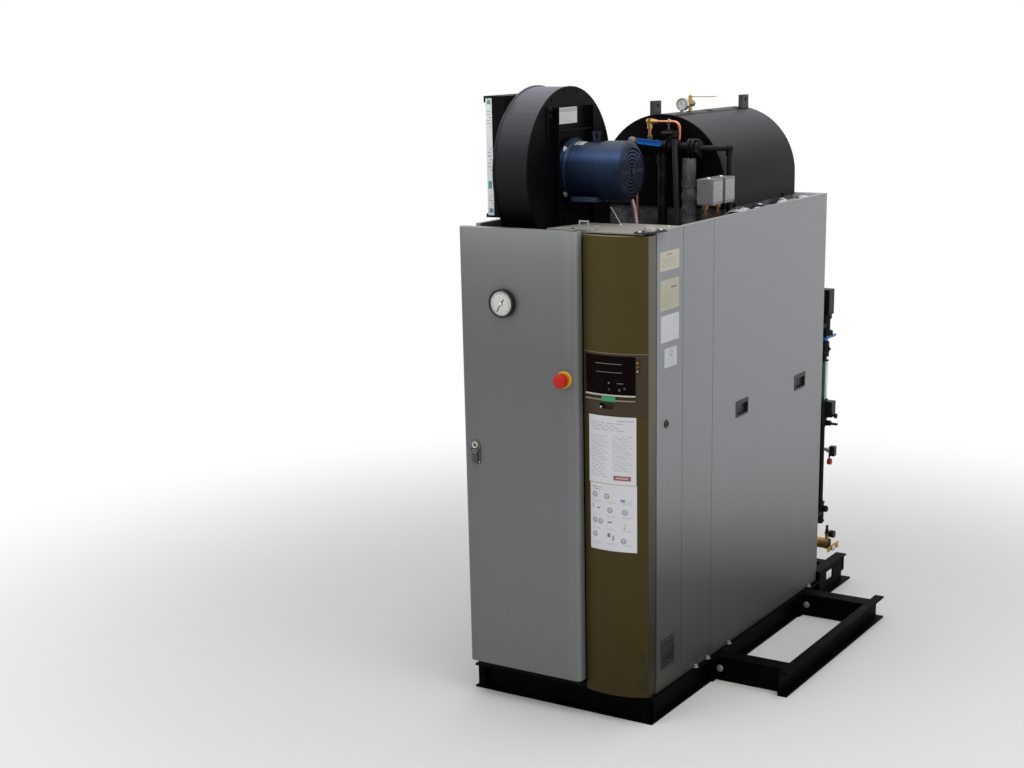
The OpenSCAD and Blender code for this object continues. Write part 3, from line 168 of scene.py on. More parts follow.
class Wire:
    """A shader value. Python's operators on it add Math nodes."""

    def __init__(self, finish, socket):
        self.finish = finish
        self.socket = socket

    def math(self, operation, first, second=0.0, clamp=False):
        return self.finish.add(
            "ShaderNodeMath", {"operation": operation, "use_clamp": clamp}, {0: first, 1: second}
        )

    def __add__(self, other):
        return self.math("ADD", self, other)

    def __radd__(self, other):
        return self.math("ADD", other, self)

    def __sub__(self, other):
        return self.math("SUBTRACT", self, other)

    def __rsub__(self, other):
        return self.math("SUBTRACT", other, self)

    def __mul__(self, other):
        return self.math("MULTIPLY", self, other)

    def __rmul__(self, other):
        return self.math("MULTIPLY", other, self)

    def __truediv__(self, other):
        return self.math("DIVIDE", self, other)

    def __pow__(self, other):
        return self.math("POWER", self, other)

    def __gt__(self, other):
        return self.math("GREATER_THAN", self, other)

    def __lt__(self, other):
        return self.math("LESS_THAN", self, other)

    def __mod__(self, other):
        return self.math("FLOORED_MODULO", self, other)

    def floor(self):
        return self.math("FLOOR", self)

    def largest(self, other):
        return self.math("MAXIMUM", self, other)

    def kept(self):
        """The value held between 0 and 1."""
        return self.math("ADD", self, 0.0, clamp=True)

    def between(self, low, high):
        return (self > low) * (self < high)


class Finish:
    """The node tree of one finish, on Object coordinates."""

    def __init__(self, name, **constants):
        self.material = bpy.data.materials.new(name)
        self.material.use_nodes = True
        self.shader = self.material.node_tree.nodes["Principled BSDF"]
        for label, value in constants.items():
            self.shader.inputs[label.replace("_", " ")].default_value = value
        self.place = self.add("ShaderNodeTexCoord", output="Object")
        parts = self.add("ShaderNodeSeparateXYZ", inputs={0: self.place})
        node = parts.socket.node
        self.x, self.y, self.z = (Wire(self, node.outputs[i]) for i in range(3))

    def add(self, kind, settings=None, inputs=None, output=0):
        """Adds a node: its settings first, then the values or links of its sockets."""
        node = self.material.node_tree.nodes.new(kind)
        for label, value in (settings or {}).items():
            if label == "stops":
                ramp = node.color_ramp.elements
                for place, _ in value[1:-1]:
                    ramp.new(place)
                for stop, (_, grey) in zip(ramp, value):
                    stop.color = (grey, grey, grey, 1)
            else:
                setattr(node, label, value)
        for label, value in (inputs or {}).items():
            socket = node.inputs[label]
            if isinstance(value, Wire):
                self.material.node_tree.links.new(value.socket, socket)
            elif isinstance(value, tuple) and socket.type == "RGBA":
                socket.default_value = (*value[:3], 1)
            else:
                socket.default_value = value
        return Wire(self, node.outputs[output])

    def stretched(self, factors):
        """The place with each axis scaled, for patterns that run one way."""
        return self.add("ShaderNodeMapping", inputs={"Vector": self.place, "Scale": factors})

    def noise(self, scale, detail=3.0, stretch=(1, 1, 1), roughness=0.5):
        place = self.place if stretch == (1, 1, 1) else self.stretched(stretch)
        return self.add(
            "ShaderNodeTexNoise",
            inputs={"Vector": place, "Scale": scale, "Detail": detail, "Roughness": roughness},
        )

    def cells(self, scale):
        return self.add("ShaderNodeTexVoronoi", inputs={"Vector": self.place, "Scale": scale})

    def ramp(self, value, low, high, start=0.0, end=1.0):
        """A smooth change from start to end as the value goes from low to high."""
        return self.add(
            "ShaderNodeMapRange",
            {"interpolation_type": "SMOOTHSTEP"},
            {"Value": value, 1: low, 2: high, 3: start, 4: end},
        )

    def levels(self, value, stops):
        """Grey values at several places along a value, joined by straight lines."""
        low, high = stops[0][0], stops[-1][0]
        place = self.add("ShaderNodeMapRange", inputs={"Value": value, 1: low, 2: high})
        parts = [((at - low) / (high - low), grey) for at, grey in stops]
        return self.add("ShaderNodeValToRGB", {"stops": parts}, {"Fac": place})

    def inside(self, **limits):
        """1 between the limits that are given along x, y and z, and 0 outside them."""
        mask = None
        for axis, (low, high) in limits.items():
            part = getattr(self, axis).between(low, high)
            mask = part if mask is None else mask * part
        return mask

    def mix(self, factor, first, second):
        """A colour between two colours."""
        return self.add(
            "ShaderNodeMix", {"data_type": "RGBA"}, {0: factor, 6: first, 7: second}, output=2
        )

    def shade(self, colour, factor):
        """A colour made lighter or darker by a value."""
        grey = self.add("ShaderNodeCombineColor", inputs={0: factor, 1: factor, 2: factor})
        return self.add(
            "ShaderNodeMix",
            {"data_type": "RGBA", "blend_type": "MULTIPLY"},
            {0: 1.0, 6: colour, 7: grey},
            output=2,
        )

    def rounded(self, radius):
        """Edges that look rounded by that radius."""
        self.corner = self.add("ShaderNodeBevel", {"samples": 4}, {"Radius": radius})
        return self.corner

    def bump(self, height, strength, depth=0.001):
        inputs = {"Height": height, "Strength": strength, "Distance": depth}
        if hasattr(self, "corner"):
            inputs["Normal"] = self.corner
        self.corner = self.add("ShaderNodeBump", inputs=inputs)
        return self.corner

    def done(self, **links):
        """Links the values to the shader's sockets and returns the material."""
        if hasattr(self, "corner"):
            links["Normal"] = self.corner
        for label, value in links.items():
            socket = self.shader.inputs[label.replace("_", " ")]
            if isinstance(value, Wire):
                self.material.node_tree.links.new(value.socket, socket)
            elif isinstance(value, tuple):
                socket.default_value = (*value[:3], 1)
            else:
                socket.default_value = value
        return self.material


made = {}


def finish(recipe, *words, **sizes):
    """The material of a recipe, made once."""
    key = str((recipe.__name__, words, sizes))
    if key not in made:
        made[key] = recipe(*words, **sizes)
    return made[key]


def colours():
    return bpy.context.scene.boiler_colours


def sizes():
    return bpy.context.scene.boiler_sizes


# Finishes of the cabinet


def panel_paint():
    """Light grey sheet: faint upright streaks, painted shade that darkens it towards the floor, browner with
    dust low down, pale behind.
    """
    f = Finish("panel_paint", Metallic=0.15, Specular_IOR_Level=0.35)
    f.rounded(0.0025)
    streak = f.noise(3.0, 5, stretch=(14, 14, 0.35))
    cloud = f.noise(1.6, 3)
    patch = f.noise(0.9, 2, stretch=(1, 1, 0.6))
    # Painted shade: the grey falls off strongly towards the floor; along makes the side a little lighter
    # towards the back.
    low = f.levels(
        f.z + 0.28 * f.y,
        [(0.05, 0.08), (0.2, 0.095), (0.34, 0.14), (0.47, 0.29), (0.64, 0.52), (0.75, 0.60), (0.93, 0.645),
         (1.25, 0.665), (1.5, 0.69), (1.9, 0.73)],
    )
    along = f.levels(f.y, [(-0.75, 0.95), (-0.5, 0.92), (-0.27, 0.94), (-0.2, 0.95), (0.85, 1.0)])
    tone = low * along * (0.95 + 0.06 * streak + 0.05 * cloud + 0.04 * patch)
    base = f.shade(tuple(colours().panels), tone)
    dust = f.ramp(f.z, 0.14, 0.9, 1.0, 0.0) * f.noise(22, 4, stretch=(1, 1, 0.4))
    base = f.mix(dust * 0.45, base, (0.11, 0.10, 0.082))
    scuff = (f.noise(70, 3, stretch=(1, 1, 0.12)) > 0.72) * (f.noise(3, 2) > 0.56)
    base = f.mix(scuff * 0.2, base, (0.10, 0.10, 0.10))
    inner = f.y.between(BACK - 0.0205, BACK - 0.0195) * (f.z > DECK_Z)
    base = f.mix(inner, base, (0.80, 0.81, 0.83))
    f.bump(f.noise(900, 2), 0.04, 0.0004)
    return f.done(Base_Color=base, Roughness=0.44 + 0.12 * cloud + 0.1 * dust)


def door_paint():
    """Silver-grey paint with painted light: lightest at its top edge, painted shade at its left edge, a
    painted highlight on its right edge, small specks and faint drips.
    """
    f = Finish("door_paint", Metallic=0.25, Specular_IOR_Level=0.2)
    f.rounded(0.003)
    streak = f.noise(2.4, 5, stretch=(12, 12, 0.3))
    cloud = f.noise(1.2, 2)
    # Painted light and shade by height, lightest at the top edge.
    low = f.levels(
        f.z,
        [(0.1, 0.40), (0.35, 0.42), (0.66, 0.42), (1.03, 0.40), (1.39, 0.365), (1.62, 0.415), (1.75, 0.48),
         (1.85, 0.62)],
    )
    # Painted shade towards the left edge, a painted highlight line near the right edge, and painted light on
    # the rounded right edge, which lies in the cover's shade.
    side = f.levels(f.x, [(-0.39, 0.92), (-0.3, 1.0), (0.06, 1.0), (0.100, 1.08), (0.104, 1.0), (0.124, 1.3)])
    tone = low * side * (0.95 + 0.05 * streak + 0.05 * cloud)
    speck = (f.cells(9.0) < 0.035).largest(f.inside(x=(-0.207, -0.198), z=(0.352, 0.366)))
    base = f.shade(tuple(colours().door), tone)
    base = f.mix(speck * 0.3, base, (0.08, 0.08, 0.08))
    f.bump(f.noise(1100, 2), 0.04, 0.0004)
    return f.done(Base_Color=base, Roughness=0.36 + 0.1 * cloud)


def cover_paint():
    """Bronze paint, with the browner control zone between two seams and a worn lower edge, painted shade that
    darkens it towards the floor, and a pale painted reflection on its side face.
    """
    f = Finish("cover_paint", Metallic=0.35, Specular_IOR_Level=0.15)
    f.rounded(0.0015)
    zone = f.z.between(1.193, 1.4205)
    seam = f.z.between(1.4205, 1.4232)
    side = f.x > PANEL_X - 0.0005
    rim = f.z > edge("column_cover", "z", 1) - 0.0006
    cloud = f.noise(3.0, 4, stretch=(4, 4, 0.8))
    # Painted shade: darker towards the floor.
    low = f.levels(f.z, [(0.1, 0.58), (0.6, 0.74), (1.1, 0.84), (1.85, 0.90)])
    base = f.shade(tuple(colours().cover), low * (0.92 + 0.16 * cloud))
    base = f.mix(zone, base, f.shade(tuple(colours().console), 0.94 + 0.12 * cloud))
    base = f.mix(seam * 0.8, base, (0.30, 0.27, 0.19))
    # The side face is painted pale as a painted reflection of the bright surroundings at the side, with
    # painted shade darker towards the floor.
    painted_side_light_and_shade = f.levels(f.z, [(0.1, 0.0), (0.35, 0.03), (0.58, 0.13), (0.75, 0.36), (1.1, 0.72), (1.85, 1.0)])
    pale = f.mix(painted_side_light_and_shade, (0.024, 0.019, 0.008), (0.135, 0.121, 0.094))
    base = f.mix(side, base, pale)
    base = f.mix(rim, base, (0.20, 0.17, 0.105))
    scratch = (f.noise(60, 2, stretch=(1, 1, 0.06)) > 0.71) * (f.noise(4, 2) > 0.55)
    base = f.mix(scratch * 0.06, base, (0.25, 0.23, 0.17))
    scuff = f.inside(x=(0.352, PANEL_X + 0.001), z=(0.118, 0.39)) * f.ramp(f.noise(16, 5), 0.50, 0.60)
    base = f.mix(scuff * 0.3, base, (0.012, 0.011, 0.008))
    f.bump(f.noise(1300, 2), 0.05, 0.0004)
    return f.done(Base_Color=base, Roughness=0.38 + 0.14 * cloud)


# Finishes of the plant on it


def plain_paint(name, colour, roughness=0.45, metallic=0.0, dust=0.2, radius=0.0015, gloss=0.4):
    """Satin paint with a little dust in it and softened edges."""
    f = Finish(name, Metallic=metallic, Specular_IOR_Level=gloss)
    f.rounded(radius)
    cloud = f.noise(7, 4)
    grain = f.noise(60, 3)
    base = f.shade(colour, 0.9 + 0.2 * cloud)
    settled = f.ramp(cloud, 0.45, 0.75) * grain
    base = f.mix(settled * dust, base, (0.20, 0.19, 0.17))
    f.bump(f.noise(500, 3), 0.06, 0.0005)
    return f.done(Base_Color=base, Roughness=roughness + 0.15 * cloud)


def black_paint(name, colour, gloss=0.38, dust=0.1, shine=0.06):
    """Black satin paint on steel: worn grey along its edges, with thin drifts of pale dust."""
    f = Finish(name, Specular_IOR_Level=shine)
    f.rounded(0.002)
    cloud = f.noise(5, 4)
    streak = f.noise(12, 4, stretch=(1, 1, 0.3))
    nick = (f.noise(46, 6, roughness=0.7) > 0.68) * f.noise(9, 2)
    base = f.shade(colour, 0.85 + 0.3 * cloud)
    base = f.mix(f.ramp(streak, 0.52, 0.85) * dust, base, (0.09, 0.086, 0.08))
    base = f.mix(nick * 0.12, base, (0.12, 0.115, 0.11))
    f.bump(f.noise(420, 3), 0.08, 0.0006)
    return f.done(Base_Color=base, Roughness=gloss + 0.2 * streak)


def blower_paint():
    """Black paint on rolled sheet: brushed, with a painted sheen that turns it greyer towards the top, near
    black on its flat side.
    """
    f = Finish("blower_paint", Specular_IOR_Level=0.06)
    f.rounded(0.002)
    cloud = f.noise(5, 4)
    brushed = f.noise(6, 5, stretch=(0.3, 9, 9))
    wrapper = f.x < BLOWER_X - 0.0055
    # Painted sheen: the rolled wrapper's grey grows towards its top as a painted reflection of the ceiling,
    # with the brushed grain in it.
    high = f.levels(
        f.z, [(1.77, 0.0012), (1.95, 0.0060), (2.10, 0.020), (2.22, 0.062), (2.31, 0.115), (2.35, 0.15)]
    )
    grey = high * (0.75 + 0.5 * brushed)
    rolled = f.add("ShaderNodeCombineColor", inputs={0: grey, 1: grey * 1.02, 2: grey * 1.16})
    base = f.shade(tuple(colours().sheet_black), 0.85 + 0.3 * cloud)
    base = f.mix(wrapper, base, rolled)
    nick = (f.noise(46, 6, roughness=0.7) > 0.68) * f.noise(9, 2)
    base = f.mix(nick * 0.08, base, (0.12, 0.115, 0.11))
    f.bump(f.noise(420, 3), 0.08, 0.0006)
    return f.done(Base_Color=base, Roughness=0.38 + 0.2 * brushed)


def motor_paint():
    """Dark blue enamel over rolled sheet, with a painted highlight band and painted shade below it, pale dust
    mixed with a painted highlight on its upper side, and worn shoulders.
    """
    f = Finish("motor_paint", Metallic=0.25, Specular_IOR_Level=0.1)
    f.rounded(0.002)
    cloud = f.noise(8, 4)
    high = f.ramp(f.z, BLOWER_Z + 0.03, BLOWER_Z + 0.11)
    # Painted light and shade by height: a bright painted highlight band above the axis, darker below it.
    lit = f.levels(
        f.z - BLOWER_Z,
        [(-0.11, 0.42), (-0.05, 0.72), (0.0, 0.74), (0.035, 1.25), (0.06, 3.9), (0.08, 1.8), (0.11, 0.8)],
    )
    end = f.x > edge("motor_fan_cover", "x", 1) - 0.004
    base = f.shade(tuple(colours().motor), lit * (0.85 + 0.3 * cloud) * (1 - end * 0.45))
    # Pale dust and a painted highlight on the upper side, which pales the blue of the highlight band.
    base = f.mix(high * f.noise(40, 3) * 0.16, base, (0.16, 0.16, 0.17))
    foot = f.inside(x=(-0.056, 0.055), z=(BLOWER_Z - 0.109, BLOWER_Z - 0.0895))
    base = f.mix(foot, base, (0.030, 0.046, 0.092))
    nick = (f.noise(70, 5, roughness=0.7) > 0.7) * 0.3
    base = f.mix(nick, base, (0.10, 0.12, 0.16))
    f.bump(f.noise(420, 3), 0.07, 0.0005)
    return f.done(Base_Color=base, Roughness=0.36 + 0.16 * cloud)


def bare_metal(name, colour, roughness=0.35, metallic=1.0):
    """Bare or plated metal with fine wear marks and a patchy dull film."""
    f = Finish(name, Metallic=metallic)
    f.rounded(0.0008)
    cloud = f.noise(30, 4)
    fine = f.noise(300, 2)
    base = f.shade(colour, 0.8 + 0.4 * cloud)
    base = f.mix(f.ramp(cloud, 0.5, 0.8) * 0.25, base, (0.10, 0.09, 0.08))
    f.bump(fine, 0.08, 0.0003)
    return f.done(Base_Color=base, Roughness=roughness + 0.25 * cloud)


def several(name, base, zones, radius=0.0012, dust=0.12, shine=0.35):
    """A node of several materials: a base and zones, each (limits, colour, roughness, metal)."""
    f = Finish(name, Specular_IOR_Level=shine)
    f.rounded(radius)
    cloud = f.noise(24, 4)
    colour, roughness, metal = base
    shown = f.mix(0.0, colour, colour)
    for limits, zone_colour, zone_roughness, zone_metal in zones:
        mask = f.inside(**limits)
        shown = f.mix(mask, shown, zone_colour)
        roughness = roughness * (1 - mask) + zone_roughness * mask
        metal = metal * (1 - mask) + zone_metal * mask
    shown = f.shade(shown, 0.82 + 0.36 * cloud)
    shown = f.mix(f.ramp(cloud, 0.5, 0.8) * dust, shown, (0.12, 0.11, 0.10))
    f.bump(f.noise(420, 3), 0.07, 0.0004)
    return f.done(Base_Color=shown, Roughness=roughness + 0.14 * cloud, Metallic=metal)


def weave(f, across, up):
    """Herringbone strokes: how much of the pale thread shows at a place."""
    column = (across / 0.014).floor() % 2
    lean = (column * 2 - 1) * across
    stroke = (((up + lean + 0.002 * f.noise(30, 2)) / 0.011) % 1).between(0.0, 0.42)
    patch = f.ramp(f.noise(14, 4), 0.38, 0.62)
    return stroke * (0.35 + 0.65 * patch)


def woven_cloth():
    """Glass cloth in a herringbone weave, dark with pale strokes."""
    f = Finish("woven_cloth", Specular_IOR_Level=0.3)
    around = f.add("ShaderNodeMath", {"operation": "ARCTAN2"}, {0: f.y - RISER[1], 1: f.x - RISER[0]})
    riser = f.inside(x=(RISER[0] - 0.035, RISER[0] + 0.035), z=(DECK_Z + 0.003, 3.0))
    upright = (f.z > DECK_Z + 0.003) * (1 - riser)
    flat = 1 - (f.z > DECK_Z + 0.003)
    across = around * 0.03 * riser + (f.x + f.y) * upright + f.x * flat
    up = f.z * (1 - flat) + f.y * flat
    thread = weave(f, across, up)
    pale = f.mix(f.noise(60, 2), (0.16, 0.165, 0.17), (0.42, 0.43, 0.45))
    base = f.mix(thread, (0.018, 0.018, 0.020), pale)
    f.bump(thread + 0.5 * f.noise(120, 3), 0.5, 0.0015)
    return f.done(Base_Color=base, Roughness=0.55)


def crumpled_foil():
    """Bright torn foil and pale cloth with black folds between."""
    f = Finish("crumpled_foil", Metallic=0.1, Specular_IOR_Level=0.4)
    torn = f.noise(26, 5, stretch=(1, 1.6, 1), roughness=0.65)
    base = f.mix(f.ramp(torn, 0.40, 0.47), (0.010, 0.010, 0.011), (0.74, 0.76, 0.78))
    f.bump(f.noise(90, 4), 0.5, 0.003)
    return f.done(Base_Color=base, Roughness=0.35)


def drum_paint():
    """Charcoal sheet over insulation, with a painted sheen lightest at its top and painted shade in the lug
    pockets, black in front, and woven cloth below its lower edge.
    """
    f = Finish("drum_paint", Specular_IOR_Level=0.08)
    f.rounded(0.002)
    cloud = f.noise(5, 4)
    streak = f.noise(9, 4, stretch=(1, 0.25, 1))
    front = 1 - (f.y > DRUM_FRONT + 0.0012)
    # Painted sheen: lighter towards the top of the drum.
    high = f.levels(
        f.z, [(CABINET_TOP, 0.15), (1.93, 0.19), (2.0, 0.33), (2.05, 0.62), (2.10, 1.35), (DRUM_TOP, 2.8)]
    )
    base = f.shade(tuple(colours().drum), high * (0.9 + 0.2 * cloud))
    base = f.mix(front, base, (0.0008, 0.0008, 0.0012))
    base = f.mix(f.ramp(streak, 0.55, 0.85) * (1 - front) * 0.06, base, (0.12, 0.118, 0.112))
    # Painted shade inside the pockets round the lugs.
    painted_pocket_shade = f.inside(x=(-0.06, 0.07), z=(DRUM_TOP - 0.027, DRUM_TOP - 0.0035))
    base = f.mix(painted_pocket_shade * (1 - front), base, (0.006, 0.006, 0.006))
    cloth = 1 - (f.z > CABINET_TOP + 0.0025)
    thread = weave(f, f.x + f.y, f.z)
    pale = f.mix(f.noise(60, 2), (0.14, 0.145, 0.15), (0.36, 0.37, 0.39))
    base = f.mix(cloth, base, f.mix(thread, (0.018, 0.018, 0.020), pale))
    f.bump(f.noise(300, 3) + 3.0 * thread * cloth, 0.08, 0.001)
    return f.done(Base_Color=base, Roughness=0.40 + 0.16 * streak)


def printed_paper(name, across, paper, prints, gloss=0.5):
    """Paper with plain rules, bars and rings. Its lines run along the axis that across names."""
    f = Finish(name, Specular_IOR_Level=0.3)
    u = f.x if across == "x" else f.y
    cloud = f.noise(9, 3)
    base = f.shade(paper, 0.93 + 0.12 * cloud)
    for kind, u0, u1, v0, v1, pitch, ink in prints:
        area = u.between(u0, u1) * f.z.between(v0, v1)
        if kind == "rows":
            row = ((f.z - v0) / pitch).floor()
            line = (((f.z - v0) / pitch) % 1).between(0.25, 0.6)
            word = ((((u - u0) / (pitch * 0.9) + row * 1.7).floor() * 0.618) % 1) > 0.2
            ragged = (u1 - 0.35 * (u1 - u0) * ((row * 0.377) % 1)) > u
            area = area * line * word * ragged
        elif kind == "frame":
            inner = u.between(u0 + pitch, u1 - pitch) * f.z.between(v0 + pitch, v1 - pitch)
            area = area * (1 - inner)
        elif kind == "ring":
            du, dv = u - (u0 + u1) / 2, f.z - (v0 + v1) / 2
            reach = (du * du + dv * dv) ** 0.5
            area = reach.between((u1 - u0) / 2 - pitch, (u1 - u0) / 2)
        base = f.mix(area * 0.85, base, ink)
    return f.done(Base_Color=base, Roughness=gloss + 0.1 * cloud)


# The nodes that each finish is for
WEARERS = {
    "skid": "skid_rail_left skid_rail_right skid_cross_members outrigger_channel outrigger_arms",
    "panel": "base_frame side_strip narrow_panel wide_panel left_panels back_panel column_case",
    "sheet": "front_frame filter_box",
    "blower": "blower_housing",
    "door": "door",
    "cover": "column_cover",
    "column": "column_top",
    "vessel": "boiler_vessel",
    "woven": "top_deck wrapped_riser",
    "drum": "barrel",
    "lug": "lifting_lugs",
    "motor": "motor_body motor_fan_cover",
    "conduit": "motor_conduit",
    "train": "gas_pipes",
    "iron": "rear_pipes",
    "stack": "rear_valves",
    "dial_case": "barrel_gauge",
    "brass": "barrel_valve_lever",
    "copper_and_brass": "copper_tube",
    "handle": "gas_valve_lever",
    "blue": "rear_upper_lever",
    "yellow": "rear_lower_lever",
    "switch": "pressure_switches",
    "plastic": "panel_pulls door_gauge",
    "hinge": "cover_hinge_plate",
    "latch": "latch_plate latch_flap",
    "collar": "stop_collar",
    "mushroom": "stop_button",
    "console": "operator_panel",
    "card": "filter_panel",
}
FINISHES = {node: name for name, nodes in WEARERS.items() for node in nodes.split()}


def finishes():
    """Every finish by its short name."""
    c = colours()
    beige, black, brown = tuple(c.beige), (0.004, 0.004, 0.0045), tuple(c.console)
    brassy, silver, dark = (0.42, 0.27, 0.09), (0.55, 0.55, 0.54), (0.010, 0.010, 0.011)
    plain = {
        "lug": ("lug_paint", (0.045, 0.04, 0.037), 0.5, 0.2, 0.35),
        "rubber": ("black_rubber", (0.006, 0.006, 0.006), 0.5, 0.0, 0.05),
        "blue": ("blue_sleeve", tuple(c.lever), 0.35, 0.0, 0.05, 0.0015),
        "yellow": ("yellow_sleeve", (0.42, 0.26, 0.02), 0.4, 0.0, 0.25, 0.0015),
        "plastic": ("black_plastic", (0.007, 0.007, 0.007), 0.42, 0.0, 0.04),
        "collar": ("yellow_plastic", (0.72, 0.42, 0.01), 0.35, 0.0, 0.03),
        "mushroom": ("red_plastic", (0.56, 0.018, 0.010), 0.3, 0.0, 0.01, 0.0015, 0.2),
        "card": ("filter_card", (0.80, 0.82, 0.84), 0.7, 0.0, 0.06),
        "white": ("white_enamel", (0.72, 0.72, 0.69), 0.35, 0.0, 0.03),
        "pale": ("pale_plastic", (0.36, 0.36, 0.35), 0.45, 0.0, 0.05),
        "ink": ("dark_ink", (0.012, 0.012, 0.013), 0.45, 0.0, 0.02),
        "amber": ("amber_lens", (0.32, 0.11, 0.015), 0.3, 0.0, 0.02),
        "dim": ("dim_plastic", (0.17, 0.16, 0.155), 0.45, 0.0, 0.02),
        "key": ("grey_key", (0.035, 0.036, 0.034), 0.4, 0.0, 0.02),
        "green": ("green_tape", (0.03, 0.30, 0.13), 0.45, 0.0, 0.03),
        "red_ink": ("dull_red_ink", (0.050, 0.008, 0.008), 0.45, 0.0, 0.03),
    }
    bare = {
        "vessel": ("jacket_sheet", (0.35, 0.35, 0.36), 0.4, 1.0),
        "conduit": ("conduit_metal", (0.42, 0.34, 0.33), 0.35, 0.6),
        "brass": ("brass", brassy, 0.3),
        "latch": ("latch_metal", (0.13, 0.13, 0.12), 0.4, 0.8),
        "zinc": ("zinc_plate", (0.62, 0.62, 0.60), 0.28),
        "dull": ("dull_steel", (0.30, 0.29, 0.28), 0.4, 0.8),
    }
    return {
        "panel": finish(panel_paint),
        "door": finish(door_paint),
        "cover": finish(cover_paint),
        "column": finish(
            several,
            "column_paint",
            (beige, 0.4, 0.1),
            [
                ({"z": (CABINET_TOP + 0.0006, 3.0)}, (0.30, 0.295, 0.28), 0.4, 0.3),
                ({"z": (0.0, CABINET_TOP - 0.0052)}, silver, 0.3, 0.9),
            ],
        ),
        "skid": finish(black_paint, "skid_paint", tuple(c.skid), 0.42, 0.03, 0.02),
        "sheet": finish(black_paint, "sheet_paint", tuple(c.sheet_black), 0.40, 0.10),
        "blower": finish(blower_paint),
        "drum": finish(drum_paint),
        "motor": finish(motor_paint),
        "woven": finish(woven_cloth),
        "iron": finish(black_paint, "pipe_paint", black, 0.34, 0.08, 0.12),
        "train": finish(
            several,
            "pipe_train",
            (black, 0.34, 0.0),
            [
                ({"x": (0.044, 0.076), "z": (MANIFOLD_Z + 0.03, 3.0)}, (0.016, 0.010, 0.008), 0.4, 0.3),
                ({"x": (0.055, 0.065), "z": (MANIFOLD_Z + 0.071, 3.0)}, (0.10, 0.095, 0.09), 0.4, 0.7),
                ({"x": (-0.09, -0.07), "y": (MANIFOLD_Y - 0.06, MANIFOLD_Y - 0.022)}, silver, 0.25, 1.0),
            ],
            shine=0.12,
        ),
        "stack": finish(
            several,
            "rear_fittings",
            (black, 0.36, 0.0),
            [
                ({"z": (0.9185, 1.105)}, (0.030, 0.14, 0.085), 0.2, 0.0),
                ({"x": (0.38, 0.5), "z": (0.62, 0.653)}, (0.36, 0.02, 0.012), 0.35, 0.0),
                ({"x": (0.363, 0.393), "z": (0.675, 0.706)}, silver, 0.3, 1.0),
                ({"x": (0.32, 0.399), "y": (0.92, 1.0), "z": (0.215, 0.30)}, brassy, 0.35, 1.0),
            ],
            shine=0.15,
        ),
        "dial_case": finish(
            several,
            "drum_gauge_metal",
            (brassy, 0.32, 1.0),
            [({"y": (0.0, DRUM_FRONT + 0.1905)}, silver, 0.18, 1.0)],
        ),
        "copper_and_brass": finish(
            several,
            "copper_and_brass",
            ((0.46, 0.18, 0.10), 0.28, 1.0),
            [
                ({"x": (-0.04, 0.012), "z": (MANIFOLD_Z + 0.072, 3.0)}, brassy, 0.3, 1.0),
                ({"x": (-0.04, 0.0), "z": (MANIFOLD_Z, MANIFOLD_Z + 0.05)}, brassy, 0.3, 1.0),
            ],
        ),
        "handle": finish(
            several,
            "valve_handle",
            (tuple(c.lever), 0.35, 0.0),
            [({"x": (-0.1, -0.058)}, (0.20, 0.20, 0.19), 0.35, 0.6)],
        ),
        "hinge": finish(
            several,
            "hinge_metal",
            (dark, 0.4, 0.0),
            [({"z": (CABINET_TOP + 0.0052, 3.0)}, (0.42, 0.40, 0.36), 0.35, 0.8)],
        ),
        "console": finish(
            several,
            "console_plastic",
            ((0.0050, 0.0025, 0.0025), 0.22, 0.0),
            [
                ({"z": (1.0, 1.2712)}, brown, 0.4, 0.1),
                ({"x": (0.3425, 0.4)}, brown, 0.4, 0.1),
                ({"z": (1.2665, 1.2716)}, (0.62, 0.60, 0.52), 0.4, 0.0),
                ({"z": (1.2485, 1.2535)}, (0.30, 0.27, 0.20), 0.4, 0.0),
                ({"x": (0.3472, 0.3530), "z": (1.3885, 1.3955)}, (0.34, 0.24, 0.13), 0.3, 0.0),
                ({"x": (0.3472, 0.3530), "z": (1.3575, 1.3645)}, (0.50, 0.40, 0.27), 0.3, 0.0),
            ],
            0.0006,
            0.03,
            0.02,
        ),
        "switch": finish(
            several,
            "switch_paint",
            ((0.20, 0.20, 0.205), 0.4, 0.2),
            [({"z": (0.0, CABINET_TOP + 0.0345)}, (0.17, 0.09, 0.045), 0.3, 1.0)],
        ),
        "foil": finish(crumpled_foil),
        **{short: finish(plain_paint, *words) for short, words in plain.items()},
        **{short: finish(bare_metal, *words) for short, words in bare.items()},
    }


# Modelling


def at_rest():
    """Leaves edit mode with nothing selected."""
    if bpy.context.mode != "OBJECT":
        bpy.ops.object.mode_set(mode="OBJECT")
    bpy.ops.object.select_all(action="DESELECT")


def chosen_alone(piece):
    """Makes one piece the only selected and the active one."""
    at_rest()
    piece.select_set(True)
    bpy.context.view_layer.objects.active = piece
    return piece


def settled(name, material=None):
    """Names the new piece and moves its place, turn and size into its mesh."""
    piece = bpy.context.object
    piece.name = name
    bpy.ops.object.transform_apply(location=True, rotation=True, scale=True)
    if material:
        piece.data.materials.append(material)
    return piece


def block(name, low, high, material=None):
    at_rest()
    low, high = Vector(low), Vector(high)
    bpy.ops.mesh.primitive_cube_add(size=1, location=(low + high) / 2, scale=high - low)
    return settled(name, material)


@contextmanager
def shaping(piece, kind="FACE"):
    """Edit mode on one piece, with nothing selected at first."""
    chosen_alone(piece)
    bpy.ops.object.mode_set(mode="EDIT")
    bpy.ops.mesh.select_mode(type=kind)
    bpy.ops.mesh.select_all(action="DESELECT")
    yield piece
    bpy.ops.object.mode_set(mode="OBJECT")


